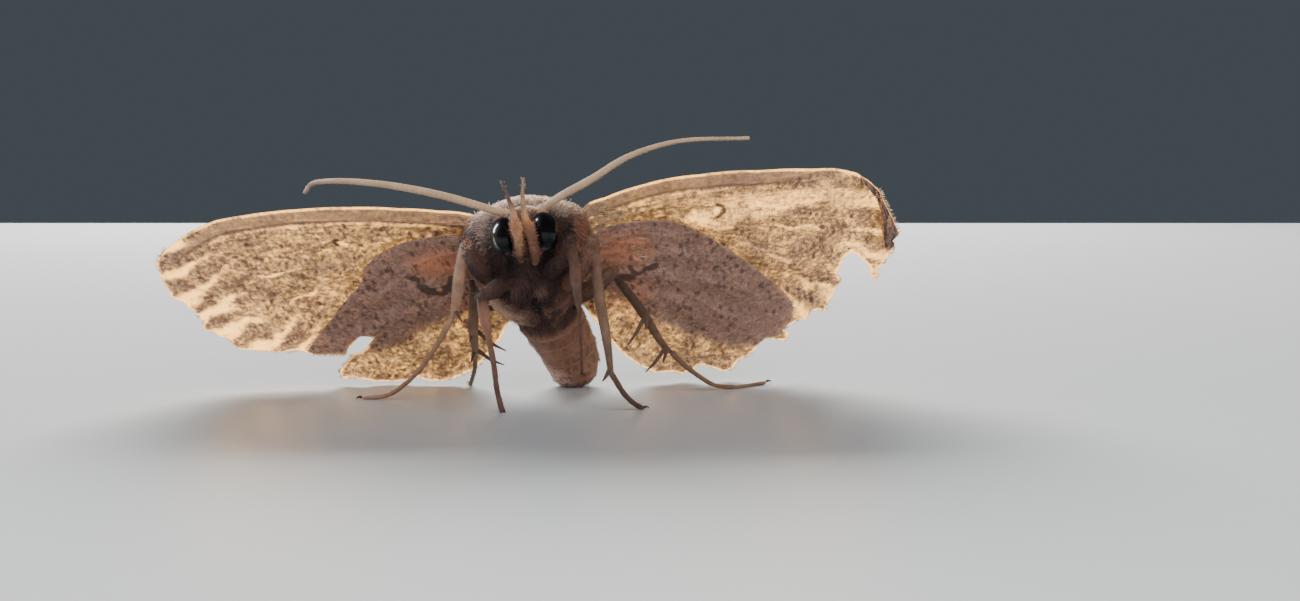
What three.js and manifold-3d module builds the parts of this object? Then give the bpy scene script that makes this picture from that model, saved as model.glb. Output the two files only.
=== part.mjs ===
// A broad-winged tan moth standing on a level surface with its wings spread.
// Millimetres. The head looks along -Y, the moth's own left side is toward +X, +Z is up.

import * as THREE from 'three';
import { mergeVertices } from 'three/addons/utils/BufferGeometryUtils.js';
import Module from 'manifold-3d';

const wasm = await Module();
wasm.setup();

// Stance and driving sizes
const bodyRoll = 8;            // degrees, the left side is carried higher
const wingSweep = 5;           // degrees, the wings trail a little behind straight out
const forewingSlope = 48.8;    // degrees between the forewing and the floor
const hindwingSlope = 51;
const wingThickness = 0.5;
const hindwingDrop = 0.72;     // the hindwing lies this far under the forewing
const jointGap = 0.04;         // clearance between neighbouring sub-parts
const antennaThickness = 0.56;
const tarsusThickness = 0.5;
const spurThickness = 0.5;
const eyeRadius = 1.12;
const eyeBulge = 0.90;         // half the eye's extent across the head

const vec = (x, y, z) => new THREE.Vector3(x, y, z);
const radians = THREE.MathUtils.degToRad;
const lerp = THREE.MathUtils.lerp;
const across = vec(Math.cos(radians(bodyRoll)), 0, Math.sin(radians(bodyRoll)));

// ---------------------------------------------------------------- solids

function geometryFrom(points, triangles) {
  const geometry = new THREE.BufferGeometry();
  const flat = points.flatMap((p) => [p.x, p.y, p.z]);
  geometry.setAttribute('position', new THREE.Float32BufferAttribute(flat, 3));
  geometry.setIndex(triangles);
  return geometry;
}

function signedVolume(points, triangles) {
  let volume = 0;
  for (let i = 0; i < triangles.length; i += 3) {
    const [a, b, c] = [points[triangles[i]], points[triangles[i + 1]], points[triangles[i + 2]]];
    volume += a.dot(b.clone().cross(c)) / 6;
  }
  return volume;
}

function outward(points, triangles) {
  if (signedVolume(points, triangles) > 0) return triangles;
  const turned = [];
  for (let i = 0; i < triangles.length; i += 3) {
    turned.push(triangles[i], triangles[i + 2], triangles[i + 1]);
  }
  return turned;
}

// A closed skin over a run of rings, drawn to a point at each end.
function skinOver(rings, startTip, endTip) {
  const sides = rings[0].length;
  const points = rings.flat();
  const start = points.length;
  const end = start + 1;
  points.push(startTip, endTip);
  const triangles = [];
  for (let j = 0; j < sides; j += 1) {
    const k = (j + 1) % sides;
    triangles.push(start, k, j);
    for (let i = 0; i < rings.length - 1; i += 1) {
      const a = i * sides;
      const b = a + sides;
      triangles.push(a + j, a + k, b + j, a + k, b + k, b + j);
    }
    const last = (rings.length - 1) * sides;
    triangles.push(end, last + j, last + k);
  }
  return geometryFrom(points, outward(points, triangles));
}

function toManifold(geometry) {
  const plain = geometry.clone();
  plain.deleteAttribute('normal');
  plain.deleteAttribute('uv');
  const merged = mergeVertices(plain, 1e-5);
  return new wasm.Manifold(new wasm.Mesh({
    numProp: 3,
    vertProperties: new Float32Array(merged.attributes.position.array),
    triVerts: new Uint32Array(merged.index.array),
  }));
}

function toGeometry(solid) {
  const mesh = solid.getMesh();
  const geometry = new THREE.BufferGeometry();
  geometry.setAttribute('position', new THREE.BufferAttribute(mesh.vertProperties, 3));
  geometry.setIndex(new THREE.BufferAttribute(mesh.triVerts, 1));
  return geometry;
}

// The largest separate piece, so that a cut never leaves crumbs.
function mainPiece(solid) {
  return solid.decompose().sort((a, b) => b.volume() - a.volume())[0];
}

function without(solid, ...cutters) {
  return mainPiece(cutters.reduce((left, cutter) => left.subtract(cutter), solid));
}

function joined(...solids) {
  return solids.reduce((whole, solid) => whole.add(solid));
}

const underFloor = toManifold(new THREE.BoxGeometry(80, 80, 6).translate(0, 0, -3));

// ---------------------------------------------------------------- body

// Each station: centre, half width, rise above and fall below the centre line.
function bodySolid(stations, sides, grow = 0) {
  const centres = stations.map((s) => vec(...s.at));
  const rings = stations.map((station, i) => {
    const before = centres[Math.max(i - 1, 0)];
    const after = centres[Math.min(i + 1, centres.length - 1)];
    const along = after.clone().sub(before).normalize();
    const side = across.clone().addScaledVector(along, -across.dot(along)).normalize();
    const up = side.clone().cross(along);
    const ring = [];
    for (let j = 0; j < sides; j += 1) {
      const turn = (2 * Math.PI * j) / sides;
      const rise = Math.sin(turn) > 0 ? station.rise : station.fall;
      ring.push(centres[i].clone()
        .addScaledVector(side, (station.half + grow) * Math.cos(turn))
        .addScaledVector(up, (rise + grow) * Math.sin(turn)));
    }
    return ring;
  });
  const first = centres[0].clone().sub(centres[1]).normalize();
  const last = centres.at(-1).clone().sub(centres.at(-2)).normalize();
  const startTip = centres[0].clone().addScaledVector(first, stations[0].tip + grow);
  const endTip = centres.at(-1).clone().addScaledVector(last, stations.at(-1).tip + grow);
  return toManifold(skinOver(rings, startTip, endTip));
}

const headStations = [
  { at: [-0.15, -8.06, 11.22], half: 0.75, rise: 0.75, fall: 0.8, tip: 0.12 },
  { at: [-0.14, -7.78, 11.30], half: 1.20, rise: 1.20, fall: 1.30, tip: 0 },
  { at: [-0.13, -7.30, 11.38], half: 1.52, rise: 1.58, fall: 1.70, tip: 0 },
  { at: [-0.12, -6.60, 11.45], half: 1.74, rise: 1.82, fall: 1.85, tip: 0 },
  { at: [-0.11, -5.80, 11.48], half: 1.80, rise: 1.86, fall: 1.80, tip: 0 },
  { at: [-0.10, -5.10, 11.44], half: 1.62, rise: 1.70, fall: 1.60, tip: 0 },
  { at: [-0.10, -4.50, 11.36], half: 1.20, rise: 1.25, fall: 1.20, tip: 0.2 },
];

const thoraxStations = [
  { at: [-0.16, -5.35, 11.20], half: 1.60, rise: 1.40, fall: 1.40, tip: 0.15 },
  { at: [-0.22, -4.90, 11.15], half: 2.75, rise: 2.30, fall: 2.25, tip: 0 },
  { at: [-0.28, -4.15, 11.00], half: 3.60, rise: 3.05, fall: 3.00, tip: 0 },
  { at: [-0.30, -3.10, 10.60], half: 4.08, rise: 3.52, fall: 3.55, tip: 0 },
  { at: [-0.26, -1.95, 9.85], half: 4.15, rise: 3.65, fall: 3.75, tip: 0 },
  { at: [-0.10, -0.85, 8.80], half: 3.85, rise: 3.40, fall: 3.45, tip: 0 },
  { at: [0.10, 0.15, 7.70], half: 3.25, rise: 2.90, fall: 2.95, tip: 0 },
  { at: [0.30, 0.95, 6.80], half: 2.50, rise: 2.30, fall: 2.35, tip: 0 },
  { at: [0.45, 1.50, 6.15], half: 1.60, rise: 1.50, fall: 1.50, tip: 0.25 },
];

const abdomenStations = [
  { at: [0.30, 0.55, 6.95], half: 1.70, rise: 1.70, fall: 1.70, tip: 0.2 },
  { at: [0.42, 1.10, 6.25], half: 2.25, rise: 2.15, fall: 2.20, tip: 0 },
  { at: [0.68, 1.85, 5.50], half: 2.38, rise: 2.20, fall: 2.28, tip: 0 },
  { at: [1.00, 2.70, 4.70], half: 2.30, rise: 2.14, fall: 2.20, tip: 0 },
  { at: [1.34, 3.50, 3.90], half: 2.22, rise: 2.06, fall: 2.10, tip: 0 },
  { at: [1.66, 4.30, 3.05], half: 2.15, rise: 2.00, fall: 1.98, tip: 0 },
  { at: [1.92, 4.95, 2.12], half: 2.08, rise: 1.92, fall: 1.82, tip: 0 },
  { at: [2.06, 5.42, 1.12], half: 1.84, rise: 1.70, fall: 1.62, tip: 0 },
  { at: [2.14, 5.72, 0.40], half: 1.36, rise: 1.25, fall: 1.15, tip: 0.3 },
];

const eyeCentres = { right: vec(-1.30, -7.00, 11.34), left: vec(1.07, -7.00, 11.66) };

function eyeSolid(side, grow = 0) {
  const ball = new THREE.SphereGeometry(1, 16, 10);
  ball.scale(eyeBulge + grow, eyeRadius * 0.96 + grow, eyeRadius * 1.04 + grow);
  ball.rotateY(-radians(bodyRoll));
  ball.translate(...eyeCentres[side]);
  return toManifold(ball);
}

// ---------------------------------------------------------------- limbs

// A round limb through the joints given as [x, y, z, radius], smooth between them.
function limbSolid(joints, sides, steps, grow = 0) {
  const curve = new THREE.CatmullRomCurve3(joints.map((j) => vec(j[0], j[1], j[2])), false, 'centripetal');
  const radiusAt = (t) => {
    const place = t * (joints.length - 1);
    const i = Math.min(Math.floor(place), joints.length - 2);
    return lerp(joints[i][3], joints[i + 1][3], place - i) + grow;
  };
  const rings = [];
  const count = (joints.length - 1) * steps;
  let side = null;
  for (let i = 0; i <= count; i += 1) {
    const t = i / count;
    const centre = curve.getPoint(t);
    const along = curve.getTangent(t);
    const hint = side ?? (Math.abs(along.x) < 0.8 ? vec(1, 0, 0) : vec(0, 1, 0));
    side = hint.clone().addScaledVector(along, -hint.dot(along)).normalize();
    const up = side.clone().cross(along);
    const ring = [];
    for (let j = 0; j < sides; j += 1) {
      const turn = (2 * Math.PI * j) / sides;
      ring.push(centre.clone()
        .addScaledVector(side, radiusAt(t) * Math.cos(turn))
        .addScaledVector(up, radiusAt(t) * Math.sin(turn)));
    }
    rings.push(ring);
  }
  const startTip = curve.getPoint(0).addScaledVector(curve.getTangent(0), -0.6 * radiusAt(0));
  const endTip = curve.getPoint(1).addScaledVector(curve.getTangent(1), 0.6 * radiusAt(1));
  return toManifold(skinOver(rings, startTip, endTip));
}

const spurRadius = spurThickness / 2;

function spurSolid(from, to) {
  return limbSolid([[...from, spurRadius + 0.03], [...to, spurRadius - 0.05]], 6, 1);
}

// Each leg from its root in the chest: thigh, shin and foot as runs of joints.
const legs = {
  fore_right: {
    femur: [[-1.25, -4.6, 8.6, 0.62], [-2.15, -5.9, 8.0, 0.56], [-2.80, -6.9, 7.70, 0.46]],
    tibia: [[-2.80, -6.9, 7.70, 0.44], [-2.66, -6.55, 6.5, 0.46], [-2.51, -6.1, 5.25, 0.34]],
    tarsus: [[-2.51, -6.1, 5.25, 0.27], [-2.27, -5.3, 3.2, 0.26], [-2.18, -4.6, 1.56, 0.25],
      [-1.94, -3.9, 0.08, 0.27]],
    spurs: [],
  },
  mid_right: {
    femur: [[-1.9, -3.6, 7.9, 0.66], [-3.3, -5.0, 9.4, 0.60], [-3.85, -5.4, 10.75, 0.50]],
    tibia: [[-3.85, -5.4, 10.75, 0.46], [-4.45, -4.3, 8.6, 0.46], [-4.98, -2.9, 6.28, 0.36]],
    tarsus: [[-4.98, -2.9, 6.28, 0.29], [-6.08, -2.2, 4.38, 0.28], [-7.95, -1.0, 1.9, 0.26],
      [-9.83, 0.1, 0.50, 0.25], [-11.70, 0.55, 0.14, 0.25]],
    spurs: [[[-4.95, -3.1, 6.5], [-4.45, -3.6, 5.75]]],
  },
  hind_right: {
    femur: [[-1.5, -1.2, 6.6, 0.70], [-2.9, -1.6, 6.9, 0.62], [-3.88, -1.2, 7.86, 0.48]],
    tibia: [[-3.88, -1.2, 7.86, 0.44], [-4.28, 0.35, 5.0, 0.46], [-4.37, 2.0, 2.92, 0.36]],
    tarsus: [[-4.37, 2.0, 2.92, 0.28], [-4.72, 4.0, 1.40, 0.26], [-5.15, 5.4, 0.42, 0.25],
      [-5.35, 6.15, 0.12, 0.25]],
    spurs: [
      [[-4.25, 0.85, 4.7], [-2.20, 1.2, 3.15]],
      [[-4.35, 0.75, 4.6], [-4.55, 0.45, 3.85]],
      [[-4.30, 1.8, 3.2], [-2.45, 2.1, 2.05]],
      [[-4.40, 1.8, 3.1], [-4.60, 1.4, 2.35]],
    ],
  },
  fore_left: {
    femur: [[1.2, -4.6, 9.0, 0.64], [2.1, -6.2, 9.9, 0.60], [2.66, -6.9, 11.0, 0.52]],
    tibia: [[2.66, -6.9, 11.0, 0.50], [2.92, -6.9, 8.95, 0.52], [3.07, -6.2, 6.87, 0.36]],
    tarsus: [[3.07, -6.2, 6.87, 0.27], [3.10, -4.6, 4.41, 0.26], [3.06, -2.9, 2.32, 0.25]],
    spurs: [],
  },
  mid_left: {
    femur: [[1.9, -3.6, 7.9, 0.66], [3.3, -4.9, 9.4, 0.60], [3.95, -5.2, 10.85, 0.50]],
    tibia: [[3.95, -5.2, 10.85, 0.46], [4.32, -5.4, 7.33, 0.48], [4.68, -5.3, 5.14, 0.44],
      [4.97, -4.9, 2.69, 0.34]],
    tarsus: [[4.97, -4.9, 2.69, 0.28], [5.95, -3.9, 0.98, 0.26], [6.92, -2.9, 0.12, 0.26]],
    spurs: [[[4.90, -5.0, 3.0], [4.45, -5.4, 2.25]]],
  },
  hind_left: {
    femur: [[1.7, -0.9, 6.9, 0.72], [3.6, -1.3, 7.6, 0.68], [4.94, -1.0, 8.65, 0.54]],
    tibia: [[4.94, -1.0, 8.65, 0.50], [6.94, 0.6, 5.78, 0.56], [8.21, 1.5, 3.62, 0.46],
      [8.88, 2.0, 2.89, 0.38]],
    tarsus: [[8.88, 2.0, 2.89, 0.30], [10.06, 2.7, 1.68, 0.28], [11.67, 3.6, 0.56, 0.26],
      [13.31, 4.4, 0.22, 0.25], [15.55, 6.1, 0.22, 0.25]],
    spurs: [
      [[7.05, 0.55, 5.6], [5.95, 0.1, 3.72]],
      [[7.15, 0.55, 5.5], [7.15, 0.1, 4.75]],
      [[8.45, 1.6, 3.4], [7.10, 1.2, 1.72]],
      [[8.55, 1.6, 3.3], [8.25, 1.1, 2.35]],
    ],
  },
};

const palps = {
  right: [[-0.28, -7.30, 9.90, 0.30], [-0.28, -8.10, 10.2, 0.36], [-0.38, -8.62, 11.48, 0.36],
    [-0.66, -8.75, 13.05, 0.28], [-1.22, -8.90, 14.55, 0.25]],
  left: [[0.50, -7.30, 9.75, 0.30], [0.60, -8.10, 10.1, 0.36], [0.40, -8.65, 11.42, 0.36],
    [-0.02, -8.78, 13.20, 0.28], [0.0, -8.90, 14.80, 0.25]],
};

const antennaRadius = antennaThickness / 2;

const antennae = {
  right: [[-1.05, -6.30, 12.55], [-1.95, -6.50, 12.86], [-5.22, -6.60, 13.81], [-8.89, -6.20, 14.46],
    [-12.05, -5.60, 14.63], [-13.28, -5.30, 14.44], [-13.70, -5.20, 13.95]],
  left: [[0.62, -6.30, 12.75], [1.95, -6.80, 13.68], [3.95, -6.95, 14.80], [6.08, -7.00, 16.10],
    [8.95, -6.75, 17.00], [13.38, -6.00, 17.22]],
};

// ---------------------------------------------------------------- wings

// A wing spreads from a hinge inside the chest. Its edge is given as [degrees, reach]:
// the angle from straight outward, front edge first, and the distance from the hinge.
const wings = {
  forewing_right: {
    root: vec(-3.9, -2.6, 12.2), outward: -1, slope: forewingSlope, drop: 0, hinge: [-2.6, 2.2],
    edge: [[-45, 3.6], [-35.7, 5.4], [-29.5, 7.75], [-24.7, 10.8], [-20.9, 13.8], [-17.5, 16.9],
      [-15.1, 19.1], [-12.1, 20.8], [-8.5, 22.4], [-5.3, 23.6], [-1.4, 23.85], [3.8, 23.5],
      [7.1, 23.3], [11.5, 23.7], [14.4, 23.1], [17, 22.8], [20.3, 21.55], [23.3, 20.5],
      [26.5, 19.2], [31, 17.4], [33.5, 15.3], [36.2, 13], [41, 8.45], [49, 6.4], [60, 4.2]],
    torn: [-6, 31],
  },
  hindwing_right: {
    root: vec(-3.9, -2.6, 12.2), outward: -1, slope: hindwingSlope, drop: hindwingDrop, hinge: [-2.6, 4.2],
    edge: [[-43, 5.2], [-34.3, 6.5], [-24.7, 8.2], [-15.7, 9.7], [-9.4, 10.5], [-3.2, 10.9],
      [-0.2, 11.4], [4.5, 12.6], [10.3, 14.35], [14.2, 15.95], [17.3, 17.4], [19.4, 16.85],
      [20.9, 16.1], [21.7, 13.4], [22.8, 12.7], [23.7, 14.6], [24.8, 15.5], [26.5, 16.9],
      [28.5, 17.35], [32, 16], [36.1, 15.2], [41.6, 14.1], [45.8, 13.1], [52.5, 12.1],
      [54.6, 11.5], [57.4, 10.6], [59, 9.4], [61.2, 7.8], [63.8, 5.6], [67, 4.2]],
    torn: [28, 56],
  },
  forewing_left: {
    root: vec(3.7, -2.6, 13.0), outward: 1, slope: forewingSlope, drop: 0, hinge: [-2.6, 2.2],
    edge: [[-44.2, 3.55], [-37.4, 4.4], [-29.6, 6.65], [-19.9, 10.2], [-13, 13.8], [-9, 16.9],
      [-7.3, 18.5], [-4.9, 19.9], [0.5, 21.2], [6, 22.4], [10, 23.3], [12.3, 23.3],
      [15.5, 23.7], [17.6, 23.2], [19.8, 23.5], [20.6, 20.5], [22.2, 20.2], [24.9, 20.1],
      [28.5, 21.05], [32.7, 20.5], [36.3, 20.05], [38, 19.6], [41.9, 17.9], [47.3, 16.3],
      [50.6, 13.6], [53, 10], [56, 6.2], [62, 4.2]],
    torn: [11, 41],
  },
  hindwing_left: {
    root: vec(3.7, -2.6, 13.0), outward: 1, slope: hindwingSlope, drop: hindwingDrop, hinge: [-2.6, 4.2],
    edge: [[-41.3, 4.1], [-27.7, 6.25], [-17.6, 8.1], [-7.8, 9.45], [0.6, 10.65], [7.4, 12.05],
      [15, 14.2], [20, 16.05], [22.5, 16.85], [28, 16.9], [32, 17.1], [33, 17.9],
      [34.2, 17.1], [36.5, 16.6], [41, 16.25], [44.4, 16.2], [50.1, 15.7], [51.9, 15.4],
      [52.9, 14], [54, 13.65], [56.8, 13.75], [61.9, 12.9], [64.6, 11.8], [65.8, 9.9],
      [67, 8.4], [68.5, 6.5], [71, 4.6]],
    torn: [28, 63],
  },
};

// Reach of the edge at every angle worth a crease, with the ragged wear of the outer margin.
function wingEdge(wing) {
  const [from, to] = wing.torn;
  const edge = [];
  wing.edge.forEach(([angle, reach], i) => {
    edge.push([angle, reach]);
    const next = wing.edge[i + 1];
    if (!next) return;
    const parts = Math.ceil((next[0] - angle) / 6);
    for (let k = 1; k < parts; k += 1) {
      const middle = lerp(angle, next[0], k / parts);
      edge.push([middle, lerp(reach, next[1], k / parts)]);
    }
  });
  return edge.map(([angle, reach]) => {
    const wear = angle > from && angle < to ? 0.09 * Math.sin(2.1 * angle) : 0;
    return [angle, reach + wear];
  });
}

function wingSolid(wing) {
  const roll = radians(bodyRoll);
  const slope = radians(wing.slope);
  const out = vec(wing.outward * Math.cos(roll), Math.sin(radians(wingSweep)), wing.outward * Math.sin(roll));
  out.normalize();
  const back = vec(Math.sin(slope) * Math.sin(roll), Math.cos(slope), -Math.sin(slope) * Math.cos(roll));
  back.addScaledVector(out, -back.dot(out)).normalize();
  const under = out.clone().cross(back).multiplyScalar(-wing.outward);
  const origin = wing.root.clone().addScaledVector(under, wing.drop);
  const place = (angle, reach, offset) => {
    const s = wing.hinge[0] + reach * Math.cos(radians(angle));
    const c = wing.hinge[1] + reach * Math.sin(radians(angle));
    const pleat = 0.07 * Math.sin(angle * 0.42) * Math.min(reach / 9, 1.4);
    return origin.clone().addScaledVector(out, s).addScaledVector(back, c)
      .addScaledVector(under, offset + pleat);
  };
  const edge = wingEdge(wing);
  const bands = 3;
  const points = [];
  const triangles = [];
  const index = (i, k, face) => (i * (bands + 1) + k) * 2 + face;
  edge.forEach(([angle, reach]) => {
    for (let k = 0; k <= bands; k += 1) {
      const t = lerp(0.12, 1, k / bands);
      points.push(place(angle, reach * t, wingThickness / 2));
      points.push(place(angle, reach * t, -wingThickness / 2));
    }
  });
  const quad = (a, b, c, d) => triangles.push(a, b, c, a, c, d);
  const last = edge.length - 1;
  for (let i = 0; i < last; i += 1) {
    for (let k = 0; k < bands; k += 1) {
      quad(index(i, k, 0), index(i + 1, k, 0), index(i + 1, k + 1, 0), index(i, k + 1, 0));
      quad(index(i, k, 1), index(i, k + 1, 1), index(i + 1, k + 1, 1), index(i + 1, k, 1));
    }
    quad(index(i, bands, 0), index(i + 1, bands, 0), index(i + 1, bands, 1), index(i, bands, 1));
    quad(index(i, 0, 1), index(i + 1, 0, 1), index(i + 1, 0, 0), index(i, 0, 0));
  }
  for (let k = 0; k < bands; k += 1) {
    quad(index(0, k, 0), index(0, k + 1, 0), index(0, k + 1, 1), index(0, k, 1));
    quad(index(last, k, 1), index(last, k + 1, 1), index(last, k + 1, 0), index(last, k, 0));
  }
  return toManifold(geometryFrom(points, outward(points, triangles)));
}

// ---------------------------------------------------------------- assembly

const moth = new THREE.Group();
moth.name = 'moth';

const material = (colour, roughness, metalness = 0) => (
  new THREE.MeshStandardMaterial({ color: colour, roughness, metalness })
);
const darkFur = material(0x4a3a35, 0.9);
const tanScales = material(0x9c7a58, 0.85);
const wingScales = material(0xb0854c, 0.8);
const abdomenScales = material(0x9a7b6a, 0.88);
const eyeBlack = material(0x0d0c10, 0.15);

function addNode(name, solid, surface) {
  const mesh = new THREE.Mesh(toGeometry(solid), surface);
  mesh.name = name;
  moth.add(mesh);
}

const eyeSockets = ['right', 'left'].map((side) => eyeSolid(side, jointGap));
const head = without(bodySolid(headStations, 22), ...eyeSockets);
const headRoom = bodySolid(headStations, 22, jointGap);
const thorax = without(bodySolid(thoraxStations, 26), headRoom, ...eyeSockets);
const thoraxRoom = bodySolid(thoraxStations, 26, jointGap);
const abdomen = without(bodySolid(abdomenStations, 24), thoraxRoom, underFloor);
const abdomenRoom = bodySolid(abdomenStations, 24, jointGap);
addNode('head', head, darkFur);
addNode('thorax', thorax, darkFur);
addNode('abdomen', abdomen, abdomenScales);

for (const side of ['right', 'left']) {
  addNode(`eye_${side}`, eyeSolid(side), eyeBlack);
  addNode(`palp_${side}`, without(limbSolid(palps[side], 8, 2), headRoom, ...eyeSockets), tanScales);
  const feeler = antennae[side].map((p) => [...p, antennaRadius]);
  addNode(`antenna_${side}`, without(limbSolid(feeler, 7, 3), headRoom, thoraxRoom, ...eyeSockets), tanScales);
}

for (const [name, wing] of Object.entries(wings)) {
  addNode(name, without(wingSolid(wing), thoraxRoom, abdomenRoom), wingScales);
}

for (const [name, leg] of Object.entries(legs)) {
  const femur = without(limbSolid(leg.femur, 9, 2), thoraxRoom, headRoom);
  const femurRoom = limbSolid(leg.femur, 9, 2, jointGap);
  const shin = joined(limbSolid(leg.tibia, 9, 2), ...leg.spurs.map((spur) => spurSolid(...spur)));
  const tibia = without(shin, femurRoom, thoraxRoom);
  const tibiaRoom = limbSolid(leg.tibia, 9, 2, jointGap);
  const tarsus = without(limbSolid(leg.tarsus, 8, 2), tibiaRoom, underFloor);
  addNode(`femur_${name}`, femur, darkFur);
  addNode(`tibia_${name}`, tibia, tanScales);
  addNode(`tarsus_${name}`, tarsus, tanScales);
}

// The middle of the standing footprint goes to the origin.
const extent = new THREE.Box3().setFromObject(moth);
const middle = extent.getCenter(vec(0, 0, 0));
for (const mesh of moth.children) {
  mesh.geometry.translate(-middle.x, -middle.y, -extent.min.z);
}

export default moth;
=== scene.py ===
import math
from types import SimpleNamespace

import bpy
import numpy as np
from mathutils import Matrix, Vector
from mathutils.kdtree import KDTree


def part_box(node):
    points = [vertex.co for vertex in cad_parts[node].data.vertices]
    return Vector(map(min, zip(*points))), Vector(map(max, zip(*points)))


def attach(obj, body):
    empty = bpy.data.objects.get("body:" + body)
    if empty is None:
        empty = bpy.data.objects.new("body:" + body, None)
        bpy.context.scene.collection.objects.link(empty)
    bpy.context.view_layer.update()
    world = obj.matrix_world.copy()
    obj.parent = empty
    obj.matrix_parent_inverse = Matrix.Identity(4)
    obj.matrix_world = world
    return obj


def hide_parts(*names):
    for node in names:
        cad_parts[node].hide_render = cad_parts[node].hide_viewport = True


bl_info = {
    "name": "Spread Moth",
    "version": (1, 0, 0),
    "blender": (4, 5, 0),
    "location": "3D View > Sidebar > Moth",
    "description": "Builds a broad-winged moth with its scales, hair and worn wings",
    "category": "Add Mesh",
}

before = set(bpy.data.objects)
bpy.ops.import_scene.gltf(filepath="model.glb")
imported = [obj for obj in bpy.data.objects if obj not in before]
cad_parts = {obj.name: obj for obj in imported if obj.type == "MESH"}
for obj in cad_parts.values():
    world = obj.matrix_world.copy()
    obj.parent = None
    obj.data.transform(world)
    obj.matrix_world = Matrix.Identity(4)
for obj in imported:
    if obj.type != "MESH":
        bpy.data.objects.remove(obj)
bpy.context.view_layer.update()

# Lengths are millimetres in the moth's own axes: the head looks along -Y and the moth's
# left side is toward +X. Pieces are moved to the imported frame, in metres, when made.
MM = 0.001
LEFT_EYE = (1.07, -7.00, 11.66)
RIGHT_EYE = (-1.30, -7.00, 11.34)
EYE_RADII = (0.90, 1.075, 1.165)
eye_low, eye_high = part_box("eye_left")
TO_FRAME = np.array((eye_low + eye_high) / 2) / MM - np.array(LEFT_EYE)
FLOOR = 0.0

ROLL = math.radians(8)  # how far the moth leans, its left side up
SWEEP = 5  # degrees that the wings reach back
ACROSS = np.array((math.cos(ROLL), 0, math.sin(ROLL)))

# ---------------------------------------------------------------- anatomy

# Each station: x, y, z of the middle, half width, rise above and fall below it.
HEAD = [
    (-0.15, -8.06, 11.22, 0.75, 0.75, 0.80), (-0.14, -7.78, 11.30, 1.20, 1.20, 1.30),
    (-0.13, -7.30, 11.38, 1.52, 1.58, 1.70), (-0.12, -6.60, 11.45, 1.74, 1.82, 1.85),
    (-0.11, -5.80, 11.48, 1.80, 1.86, 1.80), (-0.10, -5.10, 11.44, 1.62, 1.70, 1.60),
    (-0.10, -4.50, 11.36, 1.20, 1.25, 1.20),
]
THORAX = [
    (-0.16, -5.35, 11.20, 1.60, 1.40, 1.40), (-0.22, -4.90, 11.15, 2.75, 2.30, 2.25),
    (-0.28, -4.15, 11.00, 3.60, 3.05, 3.00), (-0.30, -3.10, 10.60, 4.08, 3.52, 3.55),
    (-0.26, -1.95, 9.85, 4.15, 3.65, 3.75), (-0.10, -0.85, 8.80, 3.85, 3.40, 3.45),
    (0.10, 0.15, 7.70, 3.25, 2.90, 2.95), (0.30, 0.95, 6.80, 2.50, 2.30, 2.35),
    (0.45, 1.50, 6.15, 1.60, 1.50, 1.50),
]
ABDOMEN = [
    (0.30, 0.55, 6.95, 1.70, 1.70, 1.70), (0.42, 1.10, 6.25, 2.25, 2.15, 2.20),
    (0.68, 1.85, 5.50, 2.38, 2.20, 2.28), (1.00, 2.70, 4.70, 2.30, 2.14, 2.20),
    (1.34, 3.50, 3.90, 2.22, 2.06, 2.10), (1.66, 4.30, 3.05, 2.15, 2.00, 1.98),
    (1.92, 4.95, 2.12, 2.08, 1.92, 1.82), (2.06, 5.42, 1.12, 1.84, 1.70, 1.62),
    (2.14, 5.72, 0.40, 1.36, 1.25, 1.15),
]

# Limbs: x, y, z and radius at each joint.
PALPS = {
    "right": [(-0.28, -7.30, 9.90, 0.30), (-0.28, -8.10, 10.2, 0.36), (-0.38, -8.62, 11.48, 0.36),
              (-0.66, -8.75, 13.05, 0.28), (-1.22, -8.90, 14.55, 0.25)],
    "left": [(0.50, -7.30, 9.75, 0.30), (0.60, -8.10, 10.1, 0.36), (0.40, -8.65, 11.42, 0.36),
             (-0.02, -8.78, 13.20, 0.28), (0.0, -8.90, 14.80, 0.25)],
}
ANTENNAE = {
    "right": [(-1.05, -6.30, 12.55), (-1.95, -6.50, 12.86), (-5.22, -6.60, 13.81),
              (-8.89, -6.20, 14.46), (-12.05, -5.60, 14.63), (-13.28, -5.30, 14.44),
              (-13.70, -5.20, 13.95)],
    "left": [(0.62, -6.30, 12.75), (1.95, -6.80, 13.68), (3.95, -6.95, 14.80),
             (6.08, -7.00, 16.10), (8.95, -6.75, 17.00), (13.38, -6.00, 17.22)],
}
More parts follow.
